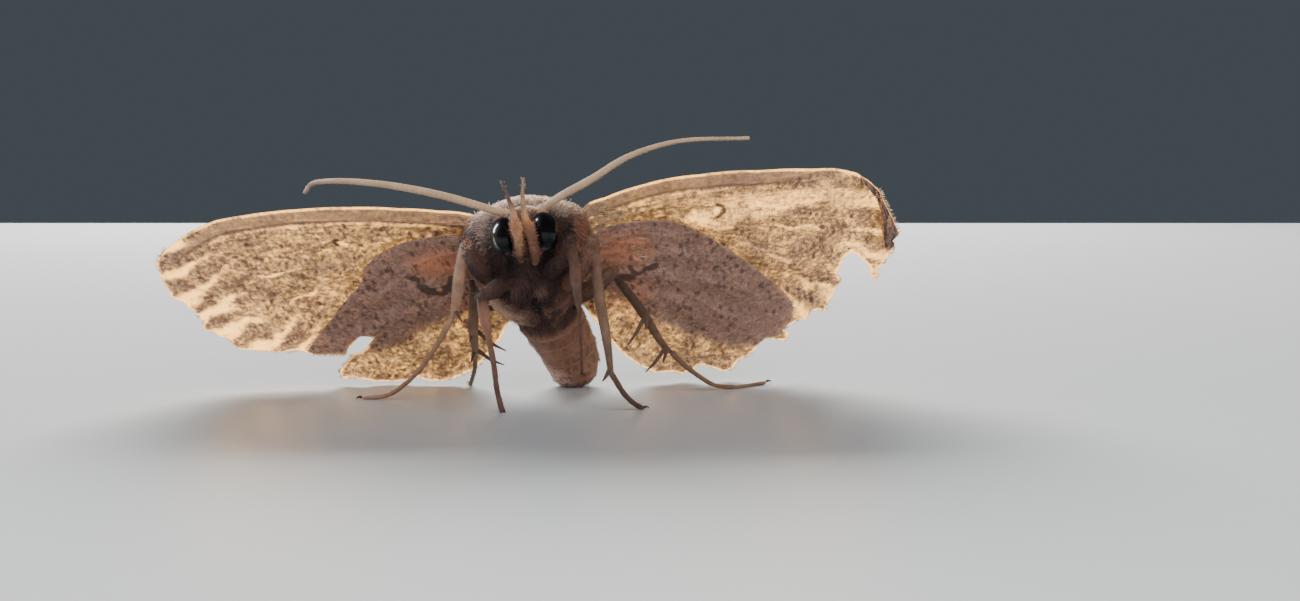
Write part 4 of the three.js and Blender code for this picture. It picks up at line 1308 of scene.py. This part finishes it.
def wing_sheet(wing, sizes):
    """The wing's two faces as grids in millimetres, and what is noted on them."""
    columns = sizes.fore_columns if wing.fore else sizes.hind_columns
    rows = sizes.fore_rows if wing.fore else sizes.hind_rows
    angle = np.linspace(wing.angles[0], wing.angles[-1], columns)
    edge = wing.reach(angle)[:, None]
    share = np.linspace(0.05, 1.0, rows)[None, :]
    reach = edge * share
    angle, reach, gone = bitten(wing, np.broadcast_to(angle[:, None], reach.shape), reach)
    fields = wing_fields(wing, angle, reach, np.broadcast_to(edge, reach.shape))
    relief = wing_relief(wing, fields)
    half = sizes.wing_thickness / 2 * (0.45 + 0.55 * smooth(0.0, 0.5, fields["margin"]))
    under, over = wing.place(angle, reach, relief + half), wing.place(angle, reach, relief - half)
    for face in (under, over):
        face[..., 2] = np.maximum(face[..., 2], FLOOR + 0.02)
    return under, over, fields, gone


# The folded corner: steps across and along it, the degrees it spans, and the chart line of its free edge.
FOLD_STEPS, FOLD_SPAN = (26, 60), (-4.0, 13.6)
FOLD_FREE_EDGE = ((17.3, 0.55), (17.75, 1.3), (18.55, 2.6), (19.0, 4.2), (19.15, 5.6), (19.45, 7.3))


def folded_tip(wing, sizes):
    """The corner of the left forewing, folded back over the underside."""
    across, down = FOLD_STEPS
    fold = np.linspace(*FOLD_SPAN, down)
    outer = wing.chart(fold, wing.reach(fold) - 0.05)
    free = through(FOLD_FREE_EDGE, 15)
    free = free[np.linspace(0, len(free) - 1, down).astype(int)]
    width = np.linspace(0, 1, across)[None, :]
    chart = outer[:, None] + (free - outer)[:, None] * width[..., None]
    angle, reach = wing.polar(chart)
    lift = 0.10 + 0.42 * np.sin(np.minimum(width * 1.15, 1.0) * math.pi / 2)
    lift = lift + 0.08 * np.sin(width * 17 + fold[:, None] * 0.2)
    fields = wing_fields(wing, angle, reach, wing.reach(angle))
    # Painted shade and painted highlights: the folded flap is darkened for the shade of its double layer, and its pale
    # streaks are its grey highlights.
    fields["dark"] = 0.26 + 0.45 * smooth(0.45, 0.75, clouds(chart * (2.4, 0.5), 0.5, 61))
    fields["rays"] = 0.5 * smooth(0.62, 0.8, clouds(chart * (2.4, 0.4), 0.5, 62))
    fields["front"] = np.zeros_like(reach)
    fields["margin"] = (1 - width) * 1.4 + np.zeros_like(reach)
    half = sizes.wing_thickness / 2
    return wing.place(angle, reach, lift + half), wing.place(angle, reach, lift - half), fields


FRINGE_DENSE = 26  # scales to a millimetre of edge


def fringe(rng, wing, dense, reach_out):
    """Fine scales along the outer margin, thinner where it is worn."""
    first = -8 + wing.turned if wing.fore else 17 + wing.turned * 0.4
    last = wing.angles[-1] - 6
    count = int(math.radians(last - first) * 20 * dense)
    angle = rng.uniform(first, last, count)
    worn = (angle > wing.torn[0]) & (angle < wing.torn[1])
    patch = clouds(angle[:, None] * np.array((1.0, 0.0, 0.0)), 2.2, wing.seed + 9)
    kept = ~worn | (patch + rng.random(count) * 0.4 > 0.78)
    if wing.bite is not None:
        kept &= ~within(wing.chart(angle, wing.reach(angle) - 0.1), wing.bite)
    angle = angle[kept]
    size, reach, level = len(angle), wing.reach(angle), np.zeros_like(angle)
    at = wing.place(angle, reach - 0.06, level + rng.normal(0, 0.02, size))
    ahead, behind = (wing.place(angle + step, wing.reach(angle + step), level) for step in (0.25, -0.25))
    along = unit(ahead - behind)
    up = np.broadcast_to(wing.under, at.shape)
    lie = np.cross(along, up)
    outward = np.sign((lie * (at - wing.place(angle, reach * 0.5, level))).sum(1))
    lie = lie * outward[:, None] + along * rng.normal(0.1, 0.18, size)[:, None]
    tone = np.where(rng.random(size)[:, None] < 0.72, linear(226, 200, 164), linear(128, 98, 72))
    places = np.stack([0.02 + 0.96 * (angle - first) / (last - first), 0.1 + 0.8 * rng.random(size)], axis=1)
    return lock_mesh(rng, {"at": at, "up": up}, lie, reach_out * rng.uniform(0.55, 1.1, size),
                     np.full(size, 0.055), 0.0, 0.0, tone, places,
                     rings=2, flat=0.25, curl=0.1, twist=0.2, tip_tone=1.1, root_tone=0.8)


# ---------------------------------------------------------------- settings


def length_setting(name, description, default):
    return bpy.props.FloatProperty(name=name, description=description + ", in millimetres",
                                   default=default, min=0.0, soft_max=5.0, precision=3)


def colour_setting(name, description, default):
    return bpy.props.FloatVectorProperty(name=name, description=description, subtype="COLOR",
                                         size=3, min=0.0, max=1.0, default=default)


def share_setting(name, description, default, least=0.0):
    return bpy.props.FloatProperty(name=name, description=description, default=default,
                                   min=least, max=1.0, subtype="FACTOR")


def power_setting(name, description, default):
    return bpy.props.FloatProperty(name=name, description=description, default=default,
                                   min=0.0, subtype="POWER", unit="POWER")


def count_setting(name, description, default, least):
    return bpy.props.IntProperty(name=name, description=description, default=default, min=least)


class MothBody(bpy.types.PropertyGroup):
    """Sizes of the skin and its hard parts."""
    head_depth: length_setting("Head coat depth", "How far the head's skin lies under its scales", 0.30)
    chest_depth: length_setting("Chest coat depth", "How far the chest's skin lies under its hair", 0.46)
    abdomen_depth: length_setting("Abdomen coat depth", "How far the abdomen's skin lies under its scales", 0.20)
    limb_depth: length_setting("Leg coat depth", "How far the legs' skin lies under their scales", 0.13)
    foot_depth: length_setting("Foot coat depth", "How far the feet's skin lies under their scales", 0.095)
    skin_grain: length_setting("Skin grain", "Size of the cells that the skin is joined with", 0.075)
    skin_kept: share_setting("Skin faces kept", "Share of the skin's faces kept when it is thinned", 0.5, 0.1)


class MothCoat(bpy.types.PropertyGroup):
    """Lengths of hair and scales."""
    chest_hair: length_setting("Chest hair", "Length of the shaggy hair on the chest", 1.05)
    collar_hair: length_setting("Collar hair", "Length of the pale hair round the collar and back", 0.8)
    face_hair: length_setting("Face hair", "Length of the hair on the face", 0.36)
    abdomen_scale: length_setting("Abdomen scales", "Length of the scales on the abdomen", 0.28)
    leg_scale: length_setting("Leg scales", "Length of the scales on the legs", 0.34)
    fringe: length_setting("Wing fringe", "Length of the fringe on the wings", 0.34)
    seed: count_setting("Seed", "Start of the random numbers", 7, 0)


class MothWings(bpy.types.PropertyGroup):
    """Sizes of the wing sheets."""
    wing_thickness: length_setting("Wing thickness", "Thickness of a wing's membrane", 0.11)
    fore_columns: count_setting("Forewing columns", "Steps round a forewing", 310, 20)
    fore_rows: count_setting("Forewing rows", "Steps out along a forewing", 104, 8)
    hind_columns: count_setting("Hindwing columns", "Steps round a hindwing", 270, 20)
    hind_rows: count_setting("Hindwing rows", "Steps out along a hindwing", 80, 8)


class MothStage(bpy.types.PropertyGroup):
    """The floor, the lights and the surroundings."""
    floor_colour: colour_setting("Floor colour", "Colour of the floor", (0.42, 0.44, 0.445))
    backdrop_colour: colour_setting("Backdrop colour", "Colour of the surroundings", (0.060, 0.072, 0.085))
    floor_roughness: share_setting("Floor roughness", "How blurred the floor's reflections are", 0.34)
    back_light: power_setting("Back light", "Power of the light behind the moth", 5.8)
    fill_light: power_setting("Fill light", "Power of the light in front of the moth", 1.05)
    side_light: power_setting("Side light", "Power of the small light at the moth's right", 2.1)


# ---------------------------------------------------------------- pieces


class MOTH_OT_skin(bpy.types.Operator):
    """Make the one skin of head, chest, abdomen, palps and legs"""
    bl_idname = "moth.skin"
    bl_label = "Skin"

    def execute(self, context):
        sizes = context.scene.moth_body
        surfaces = moth_surfaces(sizes)
        points, faces = one_skin(surfaces, sizes.skin_grain, sizes.skin_kept)
        guide = Guide(surfaces)
        shared["pelt"] = Pelt(points, faces, guide)
        fleshy = ["head", "thorax", "abdomen", "palp_left", "palp_right"]
        fleshy += [f"{part}_{leg}" for part in ("femur", "tibia", "tarsus") for leg in LEGS]
        thing = piece("skin", points, faces, skin_look(), fleshy)
        near = guide.nearest(points)
        give_colours(thing.data, "tint", coat_colours(
            guide.names, guide.part[near], guide.share[near], guide.turn[near], points))
        return {"FINISHED"}


EYE_ROWS, EYE_SIDES, EYE_POLE = 40, 64, 0.02


class MOTH_OT_eyes(bpy.types.Operator):
    """Make the two glossy domed eyes"""
    bl_idname = "moth.eyes"
    bl_label = "Eyes"

    def execute(self, context):
        look = eye_look()
        tilt = np.array(Matrix.Rotation(-ROLL, 3, "Y"))
        sink = np.linspace(EYE_POLE, math.pi - EYE_POLE, EYE_ROWS)[:, None]
        turn = np.linspace(0, 2 * math.pi, EYE_SIDES, endpoint=False)
        ball = np.broadcast_arrays(np.sin(sink) * np.cos(turn), np.sin(sink) * np.sin(turn), np.cos(sink))
        ball = (np.stack(ball, axis=-1) * EYE_RADII) @ tilt.T
        for name, centre in (("left", LEFT_EYE), ("right", RIGHT_EYE)):
            points, faces = Surface(name, ball + centre, np.zeros((len(ball), 3)), turn).closed()
            piece("eyeball_" + name, points, faces, look, ["eye_" + name])
        return {"FINISHED"}


FEELER_RINGS, FEELER_SCALES, FEELER_BRISTLES, FEELER_COAT = 74, 3600, 1500, 0.045


def feeler_form(depth, share, turn, radius):
    """The thick first joint, the taper and the fine rings of a feeler."""
    ring = (share * FEELER_RINGS) % 1.0
    scape = 0.10 * smooth(0.075, 0.055, share) - 0.05 * smooth(0.004, 0.0, share)
    slim = -depth - 0.135 * smooth(0.25, 1.0, share) + scape
    return slim + 0.008 * (ring - 0.5) * smooth(0.07, 0.09, share)


class MOTH_OT_antennae(bpy.types.Operator):
    """Make the ringed feelers with their fine bristles"""
    bl_idname = "moth.antennae"
    bl_label = "Antennae"

    def execute(self, context):
        look = hair_look("feeler_scales", 0.65, 0.06, (1.0, 0.86, 0.7))
        rng = np.random.default_rng(context.scene.moth_coat.seed + 1)
        for side, joints in ANTENNAE.items():
            route = [(*joint, 0.28) for joint in joints]
            surface = limb_surface("feeler_" + side, route, feeler_form, FEELER_COAT)
            points, faces = surface.closed()
            thing = piece("feeler_" + side, points, faces, look, ["antenna_" + side])
            ring = (np.append(surface.share.ravel(), (0, 1)) * FEELER_RINGS) % 1.0
            tone = linear(176, 144, 114) * np.where(ring < 0.3, 0.92, 1.02)[:, None]
            give_colours(thing.data, "tint", tone * (0.9 + 0.2 * clouds(points, 0.5, 31))[:, None])
            parts = [self.locks(rng, surface, kind) for kind in ("scale", "bristle")]
            lock_piece("feeler_bristles_" + side, parts, look)
        return {"FINISHED"}

    def locks(self, rng, surface, kind):
        """The flat scales all round a feeler, or the bristles on its underside."""
        rows, sides = surface.points.shape[:2]
        count = FEELER_SCALES if kind == "scale" else FEELER_BRISTLES
        row, around = rng.integers(2, rows - 2, count), rng.integers(0, sides, count)
        at = surface.points[row, around]
        up = unit(at - surface.points.mean(1)[row])
        if kind == "bristle":
            kept = up[:, 2] < 0.2
            row, around, at, up = row[kept], around[kept], at[kept], up[kept]
        share, along, size = surface.share[row, around], surface.along[row, around], len(at)
        places = np.stack([0.03 + 0.94 * around / sides, 0.03 + 0.94 * share], axis=1)
        length = rng.uniform(0.12, 0.22, size)
        tone = np.where(rng.random(size)[:, None] < 0.8, linear(190, 158, 128), linear(146, 114, 90))
        roots = {"at": at, "up": up}
        if kind == "scale":
            return lock_mesh(rng, roots, along, length, np.full(size, 0.055), 0.05, 0.04, tone, places,
                             rings=2, flat=0.2, root_tone=0.85)
        return lock_mesh(rng, roots, along * 0.6 + up, length * 0.8, np.full(size, 0.018), 0.9, 0.1,
                         tone, places, rings=2)


class MOTH_OT_wings(bpy.types.Operator):
    """Make the four thin worn wings and the folded tip"""
    bl_idname = "moth.wings"
    bl_label = "Wings"

    def execute(self, context):
        sizes, coat = context.scene.moth_wings, context.scene.moth_coat
        look = wing_look()
        fringe_look = hair_look("wing_fringe", 0.7, 0.3, (1.0, 0.93, 0.84))
        rng = np.random.default_rng(coat.seed + 2)
        for name in WINGS:
            wing = Wing(name)
            self.wing_piece(name + "_sheet", wing, look, *wing_sheet(wing, sizes), [name])
            lock_piece(name + "_fringe", [fringe(rng, wing, FRINGE_DENSE, coat.fringe)], fringe_look)
            if name == "forewing_left":
                under, over, fields = folded_tip(wing, sizes)
                whole = np.zeros(under.shape[:2], int)
                self.wing_piece("forewing_left_fold", wing, look, under, over, fields, whole, [])
        return {"FINISHED"}

    def wing_piece(self, name, wing, look, under, over, fields, gone, replaced):
        points, faces = sheet(under, over, gone)
        thing = piece(name, points, outward_faces(points, faces), look, replaced)
        note_wing(thing, fields, wing)


class MOTH_OT_claws(bpy.types.Operator):
    """Make the leg spurs and the claws"""
    bl_idname = "moth.claws"
    bl_label = "Spurs and claws"

    def execute(self, context):
        points, faces, tones, count = [], [], [], 0
        for joints, tone in self.thorns():
            some, shapes = limb_surface("thorn", joints).closed()
            some[:, 2] = np.maximum(some[:, 2], FLOOR)
            points.append(some)
            faces.extend(tuple(k + count for k in face) for face in shapes)
            tones.append(np.tile(tone, (len(some), 1)) * (0.8 + 0.4 * clouds(some, 0.25, 50))[:, None])
            count += len(some)
        look = hair_look("horn", 0.45, 0.1, (1.0, 0.9, 0.8))
        thing = piece("spurs_and_claws", np.vstack(points), faces, look)
        give_colours(thing.data, "tint", np.vstack(tones))
        return {"FINISHED"}

    def thorns(self):
        """The joints and colour of each spur and claw."""
        for leg, parts in LEGS.items():
            for start, end in parts["spurs"]:
                start, end = np.array(start), np.array(end)
                bow = (start + end) / 2 + np.array((0.0, -0.05, -0.06)) * np.linalg.norm(end - start)
                yield [(*start, 0.15), (*bow, 0.125), (*end, 0.035)], linear(84, 64, 52)
            before, foot = np.array(parts["tarsus"])[-2:, :3]
            ahead = unit(foot - before)
            forward = (0.1, -1.0, 0.0) if leg.startswith("fore") else ahead * (1, 1, 0) + 1e-6
            level = unit(np.array(forward))
            sideways = np.cross(level, (0, 0, 1))
            base = foot + ahead * 0.12
            base[2] = max(base[2], 0.10)
            for way in (-1, 1):
                middle = base + level * 0.20 + sideways * way * 0.13 + np.array((0, 0, 0.05))
                end = base + level * 0.34 + sideways * way * 0.16
                end[2] = max(end[2] - 0.10, 0.03)
                yield [(*base, 0.075), (*middle, 0.05), (*end, 0.018)], linear(60, 44, 36)


class MOTH_OT_chest_coat(bpy.types.Operator):
    """Grow the dark shaggy hair of the chest and the pale hair of the collar and back"""
    bl_idname = "moth.chest_coat"
    bl_label = "Chest hair"

    def execute(self, context):
        coat = Grower(context, 3, 0.10, (0.6, 1.15))
        grow, dark, pale = coat.grow, coat.settings.chest_hair, coat.settings.collar_hair
        chest, thighs, base = only("thorax"), only("femur"), only("abdomen")

        def rear(p, s, t):
            return chest(p) * smooth(0.05, 0.40, np.sin(t) - s * 0.1)

        def front(p, s, t, at):
            return (chest(p) - rear(p, s, t)) * smooth(0.02, 0.1, s)

        def downward(roots):
            return roots["along"] + np.array((0, 0, -0.55)) * smooth(0.9, -0.2, np.sin(roots["turn"]))[:, None]

        def outward(roots):
            shoulder = smooth(0.95, 0.5, np.sin(roots["turn"])) * smooth(0.05, 0.2, roots["share"])
            side = np.sign(np.cos(roots["turn"]))[:, None] * ACROSS
            return roots["along"] + side * 0.7 * shoulder[:, None]

        lock_piece("chest_hair", [
            grow(front, 62, dark, 0.085, 0.30, 0.26, downward, flat=0.4, curl=0.2),
            grow(front, 26, dark * 1.2, 0.035, 0.50, 0.32, downward, rings=2, curl=0.4),
            grow(lambda p, s, t, at: thighs(p) * smooth(1.3, 0.3, s), 60, dark * 0.6, 0.06, 0.34, 0.24, rings=2),
            grow(lambda p, s, t, at: chest(p) * smooth(0.46, 0.6, s) * smooth(-0.3, -1.2, at[:, 0])
                 * smooth(9.0, 8.4, at[:, 2]), 60, dark * 1.05, 0.07, 0.34, 0.22,
                 lambda roots: roots["along"] + np.array((-0.75, -0.2, -0.35))),
            grow(lambda p, s, t, at: base(p) * smooth(0.17, 0.12, s) * smooth(-0.1, -0.5, np.sin(t)), 90,
                 dark * 0.7, 0.05, 0.20, 0.12, tip_tone=0.7),
        ], hair_look("chest_hair", 0.8, 0.08, (1.0, 0.86, 0.76)))
        lock_piece("collar_hair", [
            grow(lambda p, s, t, at: rear(p, s, t), 64, pale, 0.10, 0.18, 0.18, outward,
                 flat=0.3, curl=0.12, root_tone=0.78),
            grow(lambda p, s, t, at: chest(p) * smooth(-0.35, 0.15, np.sin(t)) * smooth(0.24, 0.14, s), 80,
                 pale * 0.75, 0.075, 0.42, 0.20, flat=0.3, root_tone=0.8, rings=2),
            grow(lambda p, s, t, at: rear(p, s, t) * smooth(0.95, 0.7, np.sin(t)) * smooth(0.12, 0.2, s)
                 * smooth(0.62, 0.52, s), 40, pale * 1.5, 0.075, 0.24, 0.22, outward, flat=0.3, root_tone=0.78),
        ], hair_look("collar_hair", 0.75, 0.12, (1.0, 0.9, 0.8)))
        return {"FINISHED"}


CLEAR_OF_EYE = (1.0812, 1.1832)  # from an eye's middle: no hair within, full coat beyond


class MOTH_OT_face_coat(bpy.types.Operator):
    """Grow the short hair of the face, the crown and the scales of the palps"""
    bl_idname = "moth.face_coat"
    bl_label = "Face hair"

    def execute(self, context):
        coat = Grower(context, 4, 0.14)
        grow, length = coat.grow, coat.settings.face_hair
        head, palps = only("head"), only("palp")

        def face(p, s, t, at):
            room = head(p)
            for centre in (LEFT_EYE, RIGHT_EYE):
                room = room * smooth(*CLEAR_OF_EYE, np.linalg.norm((at - centre) * (1.05, 0.95, 0.88), axis=1))
            return room

        def down_face(roots):
            front = smooth(0.45, 0.15, roots["share"])[:, None]
            return roots["along"] * (1 - front) + np.array((0.0, 0.25, -1.0)) * front

        def apart(roots):
            side = np.sign((roots["at"] - np.array((-0.1, 0, 0))) @ ACROSS)[:, None]
            return roots["along"] + side * ACROSS * 0.45

        lock_piece("face_hair", [
            grow(face, 200, length, 0.05, 0.26, 0.2, down_face, flat=0.4),
            grow(lambda p, s, t, at: face(p, s, t, at) * smooth(0.35, 0.7, np.sin(t)), 170, length * 1.35,
                 0.05, 0.5, 0.25, flat=0.4, root_tone=0.75),
            grow(lambda p, s, t, at: palps(p) * smooth(0.02, 0.12, s), 210, length * 0.9, 0.06, 0.14, 0.14,
                 flat=0.3, rings=2),
            grow(lambda p, s, t, at: palps(p) * smooth(0.12, 0.25, s) * smooth(0.62, 0.5, s), 150, length * 1.5,
                 0.05, 0.20, 0.1, apart, flat=0.3, rings=2),
            grow(lambda p, s, t, at: palps(p) * smooth(0.45, 0.5, s) * smooth(0.68, 0.6, s), 150, length * 1.1,
                 0.04, 0.4, 0.2, rings=2),
        ], hair_look("face_hair", 0.78, 0.08, (1.0, 0.88, 0.78)))
        return {"FINISHED"}


class MOTH_OT_abdomen_coat(bpy.types.Operator):
    """Lay the short overlapping scales of the abdomen, with fringes at its rings and tip"""
    bl_idname = "moth.abdomen_coat"
    bl_label = "Abdomen scales"

    def execute(self, context):
        coat = Grower(context, 5, 0.09, (0.7, 1.2), (0.75, 1.25))
        grow, length, abdomen = coat.grow, coat.settings.abdomen_scale, only("abdomen")
        lock_piece("abdomen_coat", [
            grow(lambda p, s, t, at: abdomen(p) * smooth(0.03, 0.06, at[:, 2]), 130, length, 0.10, 0.07, 0.06,
                 rings=2, flat=0.16, tip_tone=1.04, root_tone=0.9),
            grow(lambda p, s, t, at: abdomen(p) * smooth(0.80, 0.92, (s * RINGS) % 1.0), 60, length * 1.2,
                 0.07, 0.18, 0.12, rings=2, flat=0.2, root_tone=0.88),
            grow(lambda p, s, t, at: abdomen(p) * smooth(0.75, 0.95, np.abs(np.cos(t)))
                 * smooth(0.60, 0.85, (s * RINGS) % 1.0), 40, length * 1.9, 0.045, 0.4, 0.2,
                 rings=2, root_tone=0.88),
            grow(lambda p, s, t, at: abdomen(p) * smooth(0.32, 0.10, s) * smooth(-0.1, 0.4, np.sin(t)), 60,
                 length * 3.0, 0.06, 0.26, 0.14, root_tone=0.9),
            grow(lambda p, s, t, at: abdomen(p) * smooth(0.84, 0.97, s), 70, length * 1.9, 0.06, 0.25, 0.1,
                 rings=2, root_tone=0.8),
        ], hair_look("abdomen_scales", 0.75, 0.08, (1.0, 0.9, 0.84), streak=0.2))
        return {"FINISHED"}


class MOTH_OT_leg_coat(bpy.types.Operator):
    """Lay the narrow scales and fine bristles of the legs"""
    bl_idname = "moth.leg_coat"
    bl_label = "Leg scales"

    def execute(self, context):
        coat = Grower(context, 6, 0.08)
        grow, length = coat.grow, coat.settings.leg_scale
        look = hair_look("leg_scales", 0.7, 0.06, (1.0, 0.9, 0.8))
        for side in ("left", "right"):
            thick, feet = only("femur", "tibia", side=side), only("tarsus", side=side)
            lock_piece("leg_scales_" + side, [
                grow(lambda p, s, t, at: thick(p), 110, length, 0.065, 0.08, 0.08, rings=2, flat=0.2,
                     root_tone=0.85),
                grow(lambda p, s, t, at: feet(p) * smooth(0.02, 0.06, at[:, 2]), 120, length * 0.6, 0.05,
                     0.08, 0.06, rings=2, flat=0.2, root_tone=0.85),
                grow(lambda p, s, t, at: (thick(p) + feet(p)) * smooth(0.15, 0.4, at[:, 2]), 10, length, 0.022,
                     0.45, 0.25, rings=2),
            ], look)
        return {"FINISHED"}


ROOT_HAIRS = ((1, 1500), (-1, 700))  # how many stand on a wing's underside and on its upper side


class MOTH_OT_wing_roots(bpy.types.Operator):
    """Grow the soft hair where the wings leave the chest"""
    bl_idname = "moth.wing_roots"
    bl_label = "Wing root hair"

    def execute(self, context):
        rng = np.random.default_rng(context.scene.moth_coat.seed + 8)
        parts = [self.tuft(rng, Wing(name), face, count) for name in WINGS for face, count in ROOT_HAIRS]
        look = hair_look("wing_root_hair", 0.75, 0.1, (1.0, 0.9, 0.8))
        lock_piece("wing_root_hair", parts, look)
        return {"FINISHED"}

    def tuft(self, rng, wing, face, count):
        """The hair on one face of a wing: 1 for the underside, -1 for the upper side."""
        first, last = wing.angles[0], wing.angles[-1]
        angle, reach = rng.uniform(first + 3, last - 3, count), rng.uniform(1.0, 6.2, count)
        kept = (reach < wing.reach(angle) - 0.4) & (rng.random(count) < smooth(6.2, 3.0, reach))
        angle, reach = angle[kept], reach[kept]
        size = len(angle)
        lift = np.full(size, face * 0.04)
        at, ahead = wing.place(angle, reach, lift), wing.place(angle, reach + 0.4, lift)
        roots = {"at": at, "up": np.broadcast_to(wing.under * face, at.shape)}
        lie = unit(ahead - at) + wing.back * 0.25 + rng.normal(0, 0.1, (size, 3))
        red = smooth(5.8, 3.6, reach)[:, None] * (0.0 if wing.fore else 0.75)
        tone = linear(204, 176, 146) * (1 - red) + linear(198, 118, 76) * red
        places = np.stack([0.03 + 0.94 * (angle - first) / (last - first), reach / 8], axis=1)
        return lock_mesh(rng, roots, lie, rng.uniform(0.45, 0.9, size), np.full(size, 0.05), 0.08, 0.05,
                         tone, places, rings=2, flat=0.25, root_tone=0.85)


FLOOR_RINGS, FLOOR_SIDES, FLOOR_END = (8, 60, 200, 700), 96, 214.0
# Place, target, size, colour, and whether matt surfaces and shiny ones show it.
LIGHTS = {
    "back_light": ((-50, 265, 205), (0, 0, 6), (300, 170), (1.0, 0.97, 0.92), (True, False)),
    "fill_light": ((60, -220, 170), (0, 0, 6), (240, 200), (0.93, 0.95, 1.0), (True, False)),
    "side_light": ((-175, 15, 112), (0, -8, 12), (20, 150), (0.92, 0.96, 1.0), (False, True)),
}
CAMERA_PLACE, CAMERA_DIP, CAMERA_SENSOR, CAMERA_LENS = (7.4, -86.3, 16.5), 6.49, 36, 36.64
CAMERA_REACH = (0.001, 20)


class MOTH_OT_stage(bpy.types.Operator):
    """Lay the floor and set the lights and the camera"""
    bl_idname = "moth.stage"
    bl_label = "Stage"

    def execute(self, context):
        scene, stage = context.scene, context.scene.moth_stage
        points, faces = [(7.0, 0.0, 0.0)], []
        for k, radius in enumerate(FLOOR_RINGS):
            start = len(points)
            for j in range(FLOOR_SIDES):
                turn = 2 * math.pi * j / FLOOR_SIDES
                points.append((radius * math.cos(turn), min(radius * math.sin(turn), FLOOR_END), 0.0))
                a, b = start + j, start + (j + 1) % FLOOR_SIDES
                faces.append((a - FLOOR_SIDES, a, b, b - FLOOR_SIDES) if k else (0, a, b))
        mesh = new_mesh("floor", in_frame(points) * (1, 1, 0), faces)
        mesh.materials.append(floor_look(stage.floor_colour, stage.floor_roughness))
        floor = self.shown(scene, "floor", mesh)

        scene.world = bpy.data.worlds.new("soft_room")
        scene.world.use_nodes = True
        room = scene.world.node_tree.nodes["Background"].inputs
        room["Color"].default_value = (*stage.backdrop_colour, 1)
        room["Strength"].default_value = 1.0

        for name, (place, target, size, colour, seen) in LIGHTS.items():
            lamp = bpy.data.lights.new(name, "AREA")
            lamp.shape = "RECTANGLE"
            lamp.size, lamp.size_y = size[0] * MM, size[1] * MM
            lamp.energy = getattr(stage, name)
            lamp.color = colour
            thing = self.shown(scene, name, lamp)
            thing.visible_diffuse, thing.visible_glossy = seen
            thing.location = Vector(in_frame(place))
            aim = Vector(in_frame(target)) - thing.location
            thing.rotation_euler = aim.to_track_quat("-Z", "Y").to_euler()

        view = bpy.data.cameras.new("camera")
        view.sensor_width, view.lens = CAMERA_SENSOR, CAMERA_LENS
        view.clip_start, view.clip_end = CAMERA_REACH
        scene.camera = self.shown(scene, "camera", view)
        scene.camera.location = Vector(in_frame(CAMERA_PLACE))
        scene.camera.rotation_euler = (math.radians(90 - CAMERA_DIP), 0, 0)
        return {"FINISHED"}

    def shown(self, scene, name, data):
        thing = bpy.data.objects.new(name, data)
        scene.collection.objects.link(thing)
        return thing


class MOTH_PT_panel(bpy.types.Panel):
    """Lists the moth's pieces and their settings"""
    bl_idname = "MOTH_PT_panel"
    bl_label = "Spread Moth"
    bl_space_type = "VIEW_3D"
    bl_region_type = "UI"
    bl_category = "Moth"

    def draw(self, context):
        for step in STEPS:
            self.layout.operator(step.bl_idname)
        for name, kind in GROUPS.items():
            box = self.layout.box()
            for setting in kind.__annotations__:
                box.prop(getattr(context.scene, name), setting)


GROUPS = {"moth_body": MothBody, "moth_coat": MothCoat, "moth_wings": MothWings, "moth_stage": MothStage}
STEPS = (MOTH_OT_stage, MOTH_OT_skin, MOTH_OT_eyes, MOTH_OT_antennae, MOTH_OT_wings, MOTH_OT_claws,
         MOTH_OT_chest_coat, MOTH_OT_face_coat, MOTH_OT_abdomen_coat, MOTH_OT_leg_coat, MOTH_OT_wing_roots)


def register():
    for kind in (*GROUPS.values(), *STEPS, MOTH_PT_panel):
        bpy.utils.register_class(kind)
    for name, kind in GROUPS.items():
        setattr(bpy.types.Scene, name, bpy.props.PointerProperty(type=kind))


def unregister():
    for name in GROUPS:
        delattr(bpy.types.Scene, name)
    for kind in (MOTH_PT_panel, *reversed(STEPS), *GROUPS.values()):
        bpy.utils.unregister_class(kind)


def main():
    register()
    for step in STEPS:
        getattr(bpy.ops.moth, step.bl_idname.partition(".")[2])()


if __name__ == "__main__":
    main()
